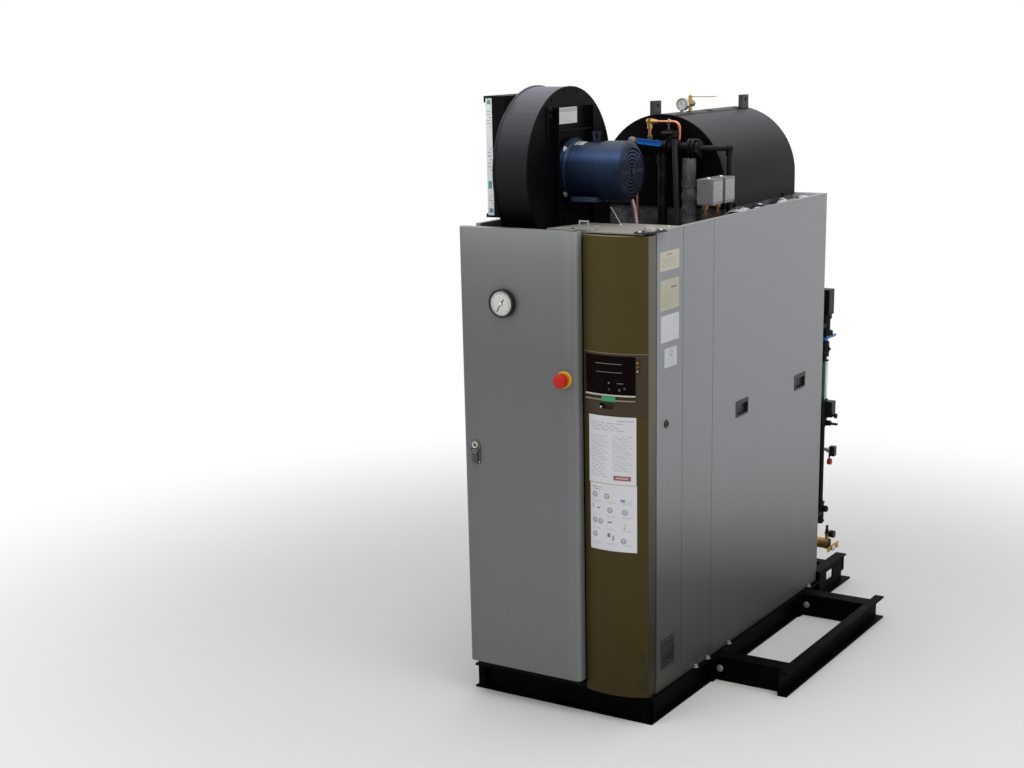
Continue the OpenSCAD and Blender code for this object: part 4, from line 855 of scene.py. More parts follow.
def choose(piece, test, kind="FACE"):
    """Selects the faces, edges or points whose place and direction pass the test."""
    bpy.ops.mesh.select_mode(type=kind)
    bpy.ops.mesh.select_all(action="DESELECT")
    mesh = bmesh.from_edit_mesh(piece.data)
    for item in {"FACE": mesh.faces, "EDGE": mesh.edges, "VERT": mesh.verts}[kind]:
        if kind == "FACE":
            chosen = test(item.calc_center_median(), item.normal)
        elif kind == "EDGE":
            a, b = item.verts
            chosen = test((a.co + b.co) / 2, (b.co - a.co).normalized())
        else:
            chosen = test(item.co, item.normal)
        item.select_set(bool(chosen))
    mesh.select_flush_mode()
    bmesh.update_edit_mesh(piece.data)


def soften(piece, width, segments=2, test=None):
    """Bevels the chosen edges, or all of them."""
    with shaping(piece, "EDGE"):
        choose(piece, test or (lambda place, along: True), "EDGE")
        bpy.ops.mesh.bevel(offset=width, segments=segments, affect="EDGES")
    return piece


def smooth(piece, degrees=35):
    chosen_alone(piece)
    bpy.ops.object.shade_smooth_by_angle(angle=math.radians(degrees))
    return piece


def outward(piece):
    """Merges doubled points and turns all faces outwards."""
    with shaping(piece, "VERT"):
        bpy.ops.mesh.select_all(action="SELECT")
        bpy.ops.mesh.remove_doubles(threshold=0.00001)
        bpy.ops.mesh.normals_make_consistent(inside=False)
    return piece


def turned(name, profile, steps=48, material=None):
    """A turned piece: a profile of (radius, height) pairs drawn point by point, then spun."""
    at_rest()
    bpy.ops.mesh.primitive_plane_add(size=0.001)
    piece = bpy.context.object
    with shaping(piece, "VERT"):
        bpy.ops.mesh.select_all(action="SELECT")
        bpy.ops.mesh.merge(type="CENTER")
        bpy.ops.mesh.select_all(action="SELECT")
        bpy.ops.transform.translate(value=(profile[0][0], 0, profile[0][1]))
        for (r0, h0), (r1, h1) in zip(profile, profile[1:]):
            bpy.ops.mesh.extrude_region_move(
                TRANSFORM_OT_translate={"value": (r1 - r0, 0, h1 - h0)}
            )
        bpy.ops.mesh.select_all(action="SELECT")
        bpy.ops.mesh.spin(steps=steps, angle=2 * math.pi, center=(0, 0, 0), axis=(0, 0, 1))
    chosen_alone(piece)
    settled(name, material)
    outward(piece)
    return smooth(piece)


def tube(name, points, radius, material=None, smooth_run=True, sides=6, swell=(1.0,)):
    """A round tube along a line of points."""
    at_rest()
    bpy.ops.curve.primitive_nurbs_path_add()
    piece = bpy.context.object
    curve = piece.data
    curve.splines.clear()
    line = curve.splines.new("NURBS" if smooth_run else "POLY")
    line.points.add(len(points) - 1)
    for number, (spot, point) in enumerate(zip(line.points, points)):
        spot.co = (*point, 1)
        spot.radius = swell[number % len(swell)]
    if smooth_run:
        line.use_endpoint_u = True
        line.order_u = 3
    curve.resolution_u = 6
    curve.bevel_depth = radius
    curve.bevel_resolution = sides - 2
    curve.use_fill_caps = True
    bpy.ops.object.convert(target="MESH")
    settled(name, material)
    outward(piece)
    return smooth(piece, 50)


def applied(piece, name):
    """Applies one modifier."""
    chosen_alone(piece)
    bpy.ops.object.modifier_apply(modifier=name)
    return piece


def thickened(piece, depth):
    """Gives a sheet its thickness, behind its face."""
    wall = piece.modifiers.new("wall", "SOLIDIFY")
    wall.thickness = depth
    wall.offset = -1
    return outward(applied(piece, "wall"))


def sheet_of(name, across, up, material):
    """A level grid one unit square, ready to be laid on a surface."""
    at_rest()
    bpy.ops.mesh.primitive_grid_add(x_subdivisions=across, y_subdivisions=up, size=1)
    return settled(name, material)


def curved(name, x0, x1, z0, z1, proud, depth, material):
    """A thin plate along the cover's curve, its face that far in front of the cover."""
    piece = sheet_of(name, 16, 3, material)
    for point in piece.data.vertices:
        x = x0 + (point.co.x + 0.5) * (x1 - x0)
        point.co = (x, cover_y(x) - proud, z0 + (point.co.y + 0.5) * (z1 - z0))
    return thickened(piece, depth)


def around(name, axis, radius, ends, degrees, depth, material):
    """A thin plate bent round a level shell, between two angles above the +Y axis."""
    piece = sheet_of(name, 3, 12, material)
    for point in piece.data.vertices:
        angle = math.radians(degrees[0] + (point.co.y + 0.5) * (degrees[1] - degrees[0]))
        x = ends[0] + (point.co.x + 0.5) * (ends[1] - ends[0])
        point.co = (x, axis[0] + radius * math.cos(angle), axis[1] + radius * math.sin(angle))
    return smooth(thickened(piece, depth), 30)


def route(points, step):
    """Points at an even step along a line whose corners are cut round."""
    line = [Vector(point) for point in points]
    for _ in range(3):
        cut = [line[0]]
        for a, b in zip(line, line[1:]):
            cut += [a.lerp(b, 0.25), a.lerp(b, 0.75)]
        line = [*cut, line[-1]]
    spots, rest = [line[0]], step
    for a, b in zip(line, line[1:]):
        length = (b - a).length
        while rest < length:
            spots.append(a.lerp(b, rest / length))
            rest += step
        rest -= length
    return [*spots, line[-1]]


def ribbed_tube(name, points, radius, pitch, material):
    """A corrugated tube along a line of points."""
    piece = tube(name, route(points, pitch / 2), radius, material, False, 8, (1.0, 0.82))
    return piece


def moved(piece, matrix):
    piece.data.transform(matrix)
    piece.data.update()
    return piece


def copies(name, pattern, places):
    """Copies of a piece at several places, each with its own mesh, joined as one piece."""
    parts = []
    for place in places:
        part = pattern.copy()
        part.data = pattern.data.copy()
        bpy.context.scene.collection.objects.link(part)
        parts.append(moved(part, place))
    bpy.data.objects.remove(pattern)
    return joined(name, parts)


def joined(name, parts):
    at_rest()
    for part in parts:
        part.select_set(True)
    bpy.context.view_layer.objects.active = parts[0]
    if len(parts) > 1:
        bpy.ops.object.join()
    whole = bpy.context.view_layer.objects.active
    whole.name = name
    return whole


def fitted(piece, body="boiler", replaces=()):
    """Fixes a finished piece to its body in the frame."""
    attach(piece, body)
    if replaces:
        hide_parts(*replaces)
    return piece


FACING = {
    "+X": Euler((0, math.pi / 2, 0)),
    "-Y": Euler((math.pi / 2, 0, 0)),
    "+Z": Euler((0, 0, 0)),
}


def facing(direction, place, roll=0.0):
    """Where a piece goes that was modelled standing on the origin with its top up."""
    turn = FACING[direction].to_matrix().to_4x4() @ Matrix.Rotation(roll, 4, "Z")
    return Matrix.Translation(place) @ turn


def hex_bolt(radius, height, material, washer=True):
    """A hexagon head with a chamfered top on its washer, standing on the origin."""
    at_rest()
    bpy.ops.mesh.primitive_cylinder_add(
        vertices=6, radius=radius, depth=height, location=(0, 0, height / 2 + radius * 0.12)
    )
    head = settled("bolt_head", material)
    with shaping(head, "FACE"):
        choose(head, lambda place, normal: normal.z > 0.9)
        bpy.ops.mesh.inset(thickness=radius * 0.1)
        bpy.ops.transform.translate(value=(0, 0, radius * 0.06))
    parts = [head]
    if washer:
        profile = [
            (0.0, 0.0),
            (radius * 1.45, 0.0),
            (radius * 1.45, radius * 0.12),
            (radius * 1.35, radius * 0.17),
            (0.0, radius * 0.17),
        ]
        parts.append(turned("bolt_washer", profile, steps=20, material=material))
    return joined("bolt", parts)


def round_screw(radius, material):
    """A pan-head screw with a driver slot, standing on the origin."""
    h = radius * 0.55
    profile = [(0.0, 0.0), (radius, 0.0), (radius, h * 0.4), (radius * 0.75, h * 0.85), (0.0, h)]
    head = turned("screw_head", profile, steps=16, material=material)
    slot = block(
        "screw_slot",
        (-radius * 0.7, -radius * 0.1, h * 0.75),
        (radius * 0.7, radius * 0.1, h * 1.5),
    )
    cut = head.modifiers.new("slot", "BOOLEAN")
    cut.operation = "DIFFERENCE"
    cut.solver = "EXACT"
    cut.object = slot
    applied(head, "slot")
    bpy.data.objects.remove(slot)
    return head


def ringed(x, axis, radius, degrees, roll=1):
    """Places round a level axis, facing +X, each turned with its angle."""
    places = []
    for turn in degrees:
        angle = math.radians(turn)
        y, z = axis[0] + radius * math.cos(angle), axis[1] + radius * math.sin(angle)
        places.append(facing("+X", (x, y, z), angle * roll))
    return places


def thread_rings(root, crest, steps, spots, material):
    """Rings of a screw thread between its root and crest radius, one at each place."""
    profile = [(root, 0.0), (crest, 0.0006), (crest, 0.0014), (root, 0.0020)]
    return [moved(turned("thread", profile, steps, material), spot) for spot in spots]


def dial_marks(centre, count, step, mark, material):
    """Marks of a dial from its lower left on. The mark function gives a mark's two corners."""
    marks = []
    for i in range(count):
        angle = math.radians(225 - i * step)
        piece = block("mark", *mark(i), material)
        marks.append(moved(piece, facing("-Y", centre) @ Matrix.Rotation(angle - math.pi / 2, 4, "Z")))
    return marks


# Operators: one for each piece or group of like pieces


class BOILER_OT_finishes(bpy.types.Operator):
    """Gives every CAD node its finish"""

    bl_idname = "boiler.finishes"
    bl_label = "Finishes"

    def execute(self, context):
        palette = finishes()
        for name, node in NODES.items():
            node.data.materials.clear()
            node.data.materials.append(palette[FINISHES[name]])
            rounding = node.modifiers.new("Joined points", "WELD")
            rounding.merge_threshold = 0.00002
            sharp = node.modifiers.new("Sharp edges", "EDGE_SPLIT")
            sharp.split_angle = math.radians(32)
            node.data.polygons.foreach_set("use_smooth", [True] * len(node.data.polygons))
            node.data.update()
        return {"FINISHED"}


class BOILER_OT_skid_bolts(bpy.types.Operator):
    """Zinc bolts that hold the side frame and the cabinet to the skid"""

    bl_idname = "boiler.skid_bolts"
    bl_label = "Skid bolts"

    def execute(self, context):
        zinc = finishes()["dull"]
        radius = sizes().bolt_radius
        rail_x = edge("skid_rail_right", "x", 1)
        places = []
        for y in (edge("outrigger_arms", "y", 0), edge("outrigger_arms", "y", 1) - 0.107):
            places.append(facing("-Y", (rail_x + 0.024, y + 0.032 - 0.0005, 0.052), 0.3))
        bolts = copies("side_frame_bolts", hex_bolt(radius, 0.009, zinc), places)
        fitted(bolts)
        places = [
            facing("+Z", (side * 0.3865, y, 0.1005), 0.4 + y)
            for side in (-1, 1)
            for y in (-0.392, -0.285, -0.090, 0.746)
        ]
        bolts = copies("base_rail_bolts", hex_bolt(radius * 0.9, 0.009, zinc), places)
        fitted(bolts)
        return {"FINISHED"}


class BOILER_OT_door_dial(bpy.types.Operator):
    """White dial of the door's gauge with its scale, hand tail and hub"""

    bl_idname = "boiler.door_dial"
    bl_label = "Door dial"

    def execute(self, context):
        palette = finishes()
        x, y, z = GAUGE
        radius = sizes().dial_radius
        profile = [
            (0.0, 0.0),
            (radius, 0.0),
            (radius, 0.0004),
            (radius - 0.0006, 0.0006),
            (0.0, 0.0006),
        ]
        face = turned("door_dial_face", profile, material=palette["white"])
        fitted(moved(face, facing("-Y", (x, y - 0.0001, z))), "door")

        def mark(i):
            wide, long = (0.0007, 0.0075) if i % 3 == 0 else (0.0004, 0.004)
            return (-wide, radius - 0.003 - long, 0.0006), (wide, radius - 0.003, 0.0009)

        marks = dial_marks(GAUGE, 31, 9, mark, palette["ink"])
        tail = block("hand_tail", (-0.0019, 0.004, 0.0009), (0.0019, 0.021, 0.0014), palette["ink"])
        marks.append(moved(tail, facing("-Y", (x, y, z)) @ Matrix.Rotation(math.radians(50 - 90), 4, "Z")))
        fitted(joined("door_dial_scale", marks), "door")
        hub = turned(
            "door_dial_hub",
            [(0.0, 0.0), (0.0065, 0.0), (0.0065, 0.002), (0.005, 0.0032), (0.0, 0.0034)],
            steps=24,
            material=palette["zinc"],
        )
        moved(hub, facing("-Y", (x, edge("door_gauge", "y", 0) + 0.0015, z)))
        fitted(hub, "door")
        return {"FINISHED"}


class BOILER_OT_door_latch(bpy.types.Operator):
    """Key slot, screws and the ribbed finger pull of the door's latch"""

    bl_idname = "boiler.door_latch"
    bl_label = "Door latch"

    def execute(self, context):
        palette = finishes()
        x = (edge("latch_plate", "x", 0) + edge("latch_plate", "x", 1)) / 2
        top = edge("latch_plate", "z", 1) - 0.020
        rim = turned(
            "latch_key_ring",
            [
                (0.0085, 0.0), (0.0125, 0.0), (0.0125, 0.0045), (0.0115, 0.006), (0.0095, 0.006),
                (0.0085, 0.005),
            ],
            steps=32,
            material=palette["zinc"],
        )
        fitted(moved(rim, facing("-Y", (x, FRONT - 0.004, top))), "door")
        low, high = (x - 0.001, FRONT - 0.0096, top - 0.0055), (x + 0.001, FRONT - 0.0089, top + 0.0055)
        slot = block("latch_key_slot", low, high, palette["ink"])
        fitted(soften(slot, 0.0003), "door")
        low = edge("latch_flap", "z", 0) + 0.008
        ribs = []
        for i in range(6):
            z = low + i * 0.0058
            near, far = (x - 0.0108, FRONT - 0.0145, z), (x + 0.0108, FRONT - 0.0129, z + 0.0022)
            ribs.append(soften(block("rib", near, far, palette["ink"]), 0.0005))
        fitted(joined("latch_pull_ribs", ribs), "latch")
        screw = round_screw(0.0028, palette["zinc"])
        low = edge("latch_plate", "z", 0) + 0.006
        places = [facing("-Y", (x + s * 0.015, FRONT - 0.004, low), 0.5 * s) for s in (-1, 1)]
        fitted(copies("latch_screws", screw, places), "door")
        return {"FINISHED"}


class BOILER_OT_console(bpy.types.Operator):
    """Bars, keys, tape and lamps on the operator's screen"""

    bl_idname = "boiler.console"
    bl_label = "Operator's console"

    def execute(self, context):
        palette = finishes()
        bars = [
            curved("bar", 0.189, 0.294, 1.3830, 1.3854, 0.0036, 0.0008, palette["dim"]),
            curved("bar", 0.191, 0.296, 1.3522, 1.3544, 0.0036, 0.0008, palette["dim"]),
            curved("bar", 0.277, 0.300, 1.3125, 1.3152, 0.0036, 0.0008, palette["dim"]),
        ]
        fitted(joined("screen_bars", bars), "cover")
        keys = []
        for x, z, radius, name in (
            (0.245, 1.3150, 0.0036, "dim"),
            (0.246, 1.2905, 0.0046, "red_ink"),
            (0.305, 1.2960, 0.0048, "key"),
            (0.286, 1.2900, 0.0058, "key"),
        ):
            profile = [(0.0, 0.0), (radius, 0.0), (radius, 0.0012), (radius * 0.8, 0.0018), (0.0, 0.0018)]
            key = turned("key", profile, steps=24, material=palette[name])
            keys.append(moved(key, facing("-Y", (x, cover_y(x) - 0.0030, z))))
        fitted(joined("screen_keys", keys), "cover")
        tape = curved("ledge_tape", 0.2165, 0.273, 1.2465, 1.2655, 0.0076, 0.0006, palette["green"])
        fitted(tape, "cover")
        x = 0.350
        lens = turned(
            "signal_lamp",
            [(0.0, 0.0), (0.0036, 0.0), (0.0036, 0.0014), (0.0028, 0.0024), (0.0, 0.0028)],
            steps=24,
            material=palette["amber"],
        )
        fitted(moved(lens, facing("-Y", (x, cover_y(x) - 0.0018, 1.3765))), "cover")
        face = cover_y(0.208)
        catch = block(
            "handle_catch", (0.2030, face + 0.0015, 1.2185), (0.2125, face + 0.0065, 1.2250), palette["zinc"]
        )
        fitted(soften(catch, 0.0015), "cover")
        return {"FINISHED"}


class BOILER_OT_cover_sheets(bpy.types.Operator):
    """Two printed sheets that are stuck on the curved cover"""

    bl_idname = "boiler.cover_sheets"
    bl_label = "Cover sheets"

    def execute(self, context):
        grey, lilac, red = (0.20, 0.20, 0.24), (0.10, 0.10, 0.17), (0.26, 0.015, 0.02)
        upper = [
            ("bar", 0.275, 0.335, 1.174, 1.1765, 0, (0.18, 0.20, 0.32)),
            ("rows", 0.165, 0.300, 1.135, 1.168, 0.0085, (0.36, 0.36, 0.40)),
            ("rows", 0.165, 0.240, 0.960, 1.118, 0.0080, (0.42, 0.42, 0.45)),
            ("rows", 0.256, 0.334, 0.985, 1.118, 0.0080, (0.42, 0.42, 0.45)),
            ("bar", 0.260, 0.326, 0.952, 0.970, 0, red),
            ("bar", 0.270, 0.316, 0.959, 0.963, 0, (0.66, 0.60, 0.60)),
        ]
        lower = [("rows", 0.168, 0.215, 0.908, 0.926, 0.008, grey)]
        rings = (
            (0.180, 0.890), (0.232, 0.888), (0.245, 0.836), (0.303, 0.832),
            (0.181, 0.738), (0.298, 0.722), (0.180, 0.792), (0.205, 0.790),
        )
        for x, z in rings:
            lower.append(("ring", x - 0.0105, x + 0.0105, z - 0.0105, z + 0.0105, 0.0034, lilac))
            lower.append(("bar", x - 0.0055, x + 0.0055, z - 0.0045, z + 0.0030, 0, (0.38, 0.38, 0.45)))
        for x, z, wide, high, ink in (
            (0.296, 0.876, 0.017, 0.010, (0.12, 0.20, 0.42)),
            (0.327, 0.876, 0.008, 0.004, (0.34, 0.42, 0.60)),
            (0.172, 0.846, 0.003, 0.018, lilac),
            (0.197, 0.840, 0.014, 0.006, (0.16, 0.17, 0.20)),
            (0.244, 0.790, 0.018, 0.006, (0.10, 0.11, 0.15)),
            (0.304, 0.785, 0.008, 0.005, (0.50, 0.40, 0.24)),
            (0.302, 0.772, 0.007, 0.010, (0.52, 0.42, 0.28)),
            (0.240, 0.740, 0.012, 0.016, lilac),
            (0.258, 0.730, 0.007, 0.020, grey),
            (0.337, 0.722, 0.008, 0.004, (0.54, 0.52, 0.20)),
        ):
            lower.append(("bar", x - wide / 2, x + wide / 2, z - high / 2, z + high / 2, 0, ink))
        for x in (0.168, 0.232, 0.292):
            for z in (0.862, 0.808, 0.757, 0.702):
                lower.append(("rows", x, x + 0.040, z, z + 0.009, 0.0045, (0.40, 0.40, 0.43)))
        paper = (0.69, 0.69, 0.71)
        top = curved(
            "upper_sheet", 0.1555, 0.3445, 0.9365, 1.1905, 0.0009, 0.0006,
            printed_paper("upper_print", "x", paper, upper),
        )
        fitted(top, "cover")
        bottom = curved(
            "lower_sheet", 0.1595, 0.3465, 0.6800, 0.9350, 0.0009, 0.0006,
            printed_paper("lower_print", "x", paper, lower),
        )
        fitted(bottom, "cover")
        return {"FINISHED"}


class BOILER_OT_side_labels(bpy.types.Operator):
    """Four printed labels on the control side's narrow strip"""

    bl_idname = "boiler.side_labels"
    bl_label = "Side labels"

    def execute(self, context):
        x = PANEL_X
        thick = sizes().sheet_thickness
        cream, white, ink = (0.53, 0.50, 0.42), (0.57, 0.58, 0.60), (0.12, 0.12, 0.11)
        faint = (0.31, 0.30, 0.25)
        labels = (
            ("first_label", (-0.697, -0.547), (1.705, 1.774), cream, [
                ("bar", -0.648, -0.602, 1.760, 1.7635, 0, ink),
                ("rows", -0.688, -0.560, 1.714, 1.752, 0.0075, faint),
            ]),
            ("second_label", (-0.6945, -0.548), (1.562, 1.672), (0.44, 0.43, 0.34), [
                ("bar", -0.612, -0.566, 1.638, 1.644, 0, ink),
                ("frame", -0.686, -0.560, 1.574, 1.630, 0.0016, faint),
                ("rows", -0.680, -0.566, 1.580, 1.624, 0.0072, faint),
            ]),
            ("third_label", (-0.6888, -0.547), (1.445, 1.543), white, [
                ("ring", -0.640, -0.606, 1.488, 1.522, 0.0016, (0.42, 0.44, 0.46)),
                ("rows", -0.595, -0.556, 1.492, 1.532, 0.008, (0.44, 0.46, 0.48)),
                ("rows", -0.682, -0.556, 1.452, 1.482, 0.008, (0.50, 0.52, 0.54)),
            ]),
            ("fourth_label", (-0.661, -0.563), (1.350, 1.4205), (0.53, 0.55, 0.56), [
                ("ring", -0.622, -0.596, 1.388, 1.412, 0.005, (0.26, 0.27, 0.28)),
                ("rows", -0.655, -0.570, 1.354, 1.384, 0.0075, (0.40, 0.41, 0.42)),
            ]),
        )
        for name, (y0, y1), (z0, z1), paper, prints in labels:
            label = block(
                name, (x, y0, z0), (x + thick, y1, z1),
                printed_paper(name + "_print", "y", paper, prints),
            )
            soften(label, 0.004, 3, lambda place, along: abs(along.x) > 0.9)
            fitted(label, "boiler")
        return {"FINISHED"}


class BOILER_OT_strip_lock(bpy.types.Operator):
    """Dark ring of the strip's lock, and the vent's slats"""

    bl_idname = "boiler.strip_lock"
    bl_label = "Strip lock and vent"

    def execute(self, context):
        palette = finishes()
        y, z = -0.647, 1.141
        ring = turned(
            "strip_lock_ring",
            [
                (0.0080, 0.0), (0.0135, 0.0), (0.0135, 0.0025), (0.0120, 0.0040), (0.0090, 0.0040),
                (0.0080, 0.0028),
            ],
            steps=32,
            material=palette["key"],
        )
        fitted(moved(ring, facing("+X", (PANEL_X + 0.0028, y, z))))
        y0, y1 = VENT_Y
        slats = []
        for i in range(8):
            low = 0.188 + i * 0.0142
            near, far = (-0.006, y0 + 0.006, -0.0007), (0.006, y1 - 0.006, 0.0007)
            slat = soften(block("slat", near, far, palette["plastic"]), 0.0004)
            moved(slat, Matrix.Translation((PANEL_X - 0.003, 0, low)) @ Matrix.Rotation(0.6, 4, "Y"))
            slats.append(slat)
        fitted(joined("vent_slats", slats))
        return {"FINISHED"}


class BOILER_OT_column_screws(bpy.types.Operator):
    """Screws and nuts of the column's top plate, hinge bracket and hinge plate"""

    bl_idname = "boiler.column_screws"
    bl_label = "Column screws"

    def execute(self, context):
        palette = finishes()
        top = CABINET_TOP
        screw = round_screw(sizes().screw_radius * 0.8, palette["zinc"])
        places = [facing("+Z", place, 0.4) for place in ((0.150, -0.560, top), (0.340, -0.545, top))]
        fitted(copies("column_top_screws", screw, places))
        x, y = edge("cover_hinge_plate", "x", 0) + 0.0416, edge("cover_hinge_plate", "y", 0) + 0.0679
        centre = Vector((x, y, 0))
        screw = round_screw(sizes().screw_radius, palette["zinc"])
        places = []
        for s in (-1, 1):
            spot = centre + Matrix.Rotation(math.radians(-18), 3, "Z") @ Vector((0, s * 0.052, 0))
            places.append(facing("+Z", (spot.x, spot.y, top + 0.0051), s))
        fitted(copies("hinge_plate_screws", screw, places))
        nut = hex_bolt(0.007, 0.003, palette["key"], washer=False)
        places = [facing("+Z", (0.101, FRONT + 0.022, top + 0.009), 0.2)]
        fitted(copies("hinge_pin_nut", nut, places))
        return {"FINISHED"}


class BOILER_OT_roof_sheet(bpy.types.Operator):
    """Folded sheet that carries the column's top on to the left, and the thin white wire beside it"""

    bl_idname = "boiler.roof_sheet"
    bl_label = "Roof sheet"

    def execute(self, context):
        palette = finishes()
        low, high = (-0.046, -0.762, CABINET_TOP - 0.0035), (0.130, -0.541, CABINET_TOP - 0.0005)
        sheet = block("roof_sheet", low, high)
        with shaping(sheet, "VERT"):
            choose(sheet, lambda place, normal: place.x < 0 and place.y > -0.6, "VERT")
            bpy.ops.transform.translate(value=(0.060, 0, 0))
        sheet.data.materials.append(palette["column"])
        low, high = (-0.044, -0.762, CABINET_TOP - 0.026), (0.130, -0.760, CABINET_TOP - 0.003)
        lip = block("roof_sheet_lip", low, high, palette["column"])
        whole = joined("roof_sheet", [soften(sheet, 0.0006), soften(lip, 0.0006)])
        fitted(whole)
        line = [
            (-0.118, -0.183, 1.872), (-0.118, -0.160, 1.868), (-0.110, -0.150, 1.850),
            (-0.072, -0.150, 1.790), (-0.057, -0.150, DECK_Z),
        ]
        fitted(tube("white_wire", line, 0.0018, palette["white"]))
        return {"FINISHED"}


class BOILER_OT_blower_fittings(bpy.types.Operator):
    """Data plate, frame bolts and motor bolts of the blower"""

    bl_idname = "boiler.blower_fittings"
    bl_label = "Blower fittings"

    def execute(self, context):
        palette = finishes()
        x = BLOWER_X
        plate = block("blower_plate", (x, -0.584, 2.208), (x + 0.0012, -0.437, 2.267))
        soften(plate, 0.005, 3, lambda place, along: abs(along.x) > 0.9)
        prints = [
            ("bar", -0.581, -0.440, 2.250, 2.264, 0, (0.40, 0.38, 0.36)),
            ("rows", -0.566, -0.470, 2.214, 2.246, 0.0085, (0.42, 0.42, 0.44)),
        ]
        plate.data.materials.append(printed_paper("blower_plate_print", "y", (0.66, 0.66, 0.66), prints))
        fitted(plate)
        bolt = hex_bolt(0.0085, 0.006, palette["iron"])
        places = [
            facing("+X", (x + 0.004, y, z), 0.3 + z)
            for y, z in ((-0.638, 2.2629), (-0.638, 2.238), (-0.353, 2.2572), (-0.353, 2.2424))
        ]
        fitted(copies("frame_bolts", bolt, places))
        bolt = hex_bolt(0.0095, 0.007, palette["zinc"])
        flange = edge("motor_body", "x", 0) + 0.010
        places = ringed(flange, (BLOWER_Y, BLOWER_Z), 0.1125, range(45, 360, 90))
        fitted(copies("motor_flange_bolts", bolt, places))
        screw = round_screw(0.0045, palette["sheet"])
        places = ringed(x, (BLOWER_Y, BLOWER_Z), 0.294, range(-28, 207, 18), 3)
        fitted(copies("side_sheet_screws", screw, places))
        return {"FINISHED"}


class BOILER_OT_filter_strip(bpy.types.Operator):
    """Card edge strip of the air filter, with its plain coloured marks"""

    bl_idname = "boiler.filter_strip"
    bl_label = "Filter strip"

    def execute(self, context):
        y = edge("filter_panel", "y", 0)
        x0, x1 = edge("filter_panel", "x", 0) + 0.001, edge("filter_panel", "x", 1) - 0.001
        teal, faint = (0.03, 0.24, 0.29), (0.40, 0.44, 0.48)
        prints = [
            ("bar", x0 + 0.006, x1 - 0.006, 2.2850, 2.3000, 0, teal),
            ("bar", x0 + 0.004, x1 - 0.008, 1.9780, 2.0060, 0, teal),
            ("bar", x0 + 0.006, x1 - 0.004, 1.8890, 1.9050, 0, teal),
            ("rows", x0 + 0.004, x1 - 0.004, 2.2000, 2.2650, 0.011, faint),
            ("rows", x0 + 0.005, x1 - 0.005, 2.0400, 2.1300, 0.013, faint),
            ("rows", x0 + 0.005, x1 - 0.005, 1.9200, 1.9600, 0.010, faint),
        ]
        low, high = edge("filter_panel", "z", 0) + 0.002, edge("filter_panel", "z", 1) - 0.002
        paper = printed_paper("filter_strip_print", "x", (0.92, 0.95, 0.98), prints, 0.6)
        strip = block("filter_strip", (x0, y - 0.0006, low), (x1, y, high), paper)
        fitted(soften(strip, 0.002, 2, lambda place, along: abs(along.y) > 0.9))
        return {"FINISHED"}


class BOILER_OT_motor_fittings(bpy.types.Operator):
    """Rating plate, cover screws and centre cap of the motor"""

    bl_idname = "boiler.motor_fittings"
    bl_label = "Motor fittings"

    def execute(self, context):
        palette = finishes()
        axis = (BLOWER_Y, BLOWER_Z)
        radius, ends = MOTOR_RADIUS + 0.001, (-0.064, -0.026)
        plate = around("motor_plate", axis, radius, ends, (94, 118), 0.001, palette["pale"])
        fitted(plate)
        screw = round_screw(0.0050, palette["zinc"])
        places = []
        for degrees in (70, 160, 250, 340):
            angle = math.radians(degrees)
            turn = Matrix.Rotation(angle, 4, "X")
            reach = edge("motor_fan_cover", "z", 1) - BLOWER_Z
            spot = Matrix.Translation((edge("motor_fan_cover", "x", 0) + 0.014, *axis))
            places.append(spot @ turn @ Matrix.Translation((0, 0, reach - 0.0003)))
        fitted(copies("fan_cover_screws", screw, places))
        cap = turned(
            "fan_cover_centre",
            [(0.0, 0.0), (0.0125, 0.0), (0.0125, 0.0015), (0.0105, 0.0032), (0.0, 0.0036)],
            steps=32,
            material=palette["motor"],
        )
        fitted(moved(cap, facing("+X", (edge("motor_fan_cover", "x", 1), *axis))))
        ring = turned(
            "fan_cover_ring",
            [(0.0855, 0.0), (0.0900, 0.0), (0.0895, 0.0018), (0.0875, 0.0026), (0.0860, 0.0018)],
            steps=72,
            material=palette["motor"],
        )
        moved(ring, facing("+X", (edge("motor_fan_cover", "x", 1) - 0.0006, *axis)))
        fitted(ring)
        seam = turned(
            "motor_end_band",
            [(MOTOR_RADIUS - 0.001, 0.0), (MOTOR_RADIUS + 0.0022, 0.0), (MOTOR_RADIUS + 0.0022, 0.005),
             (MOTOR_RADIUS - 0.001, 0.0062)],
            steps=72,
            material=palette["motor"],
        )
        fitted(moved(seam, facing("+X", (0.030, *axis))))
        return {"FINISHED"}


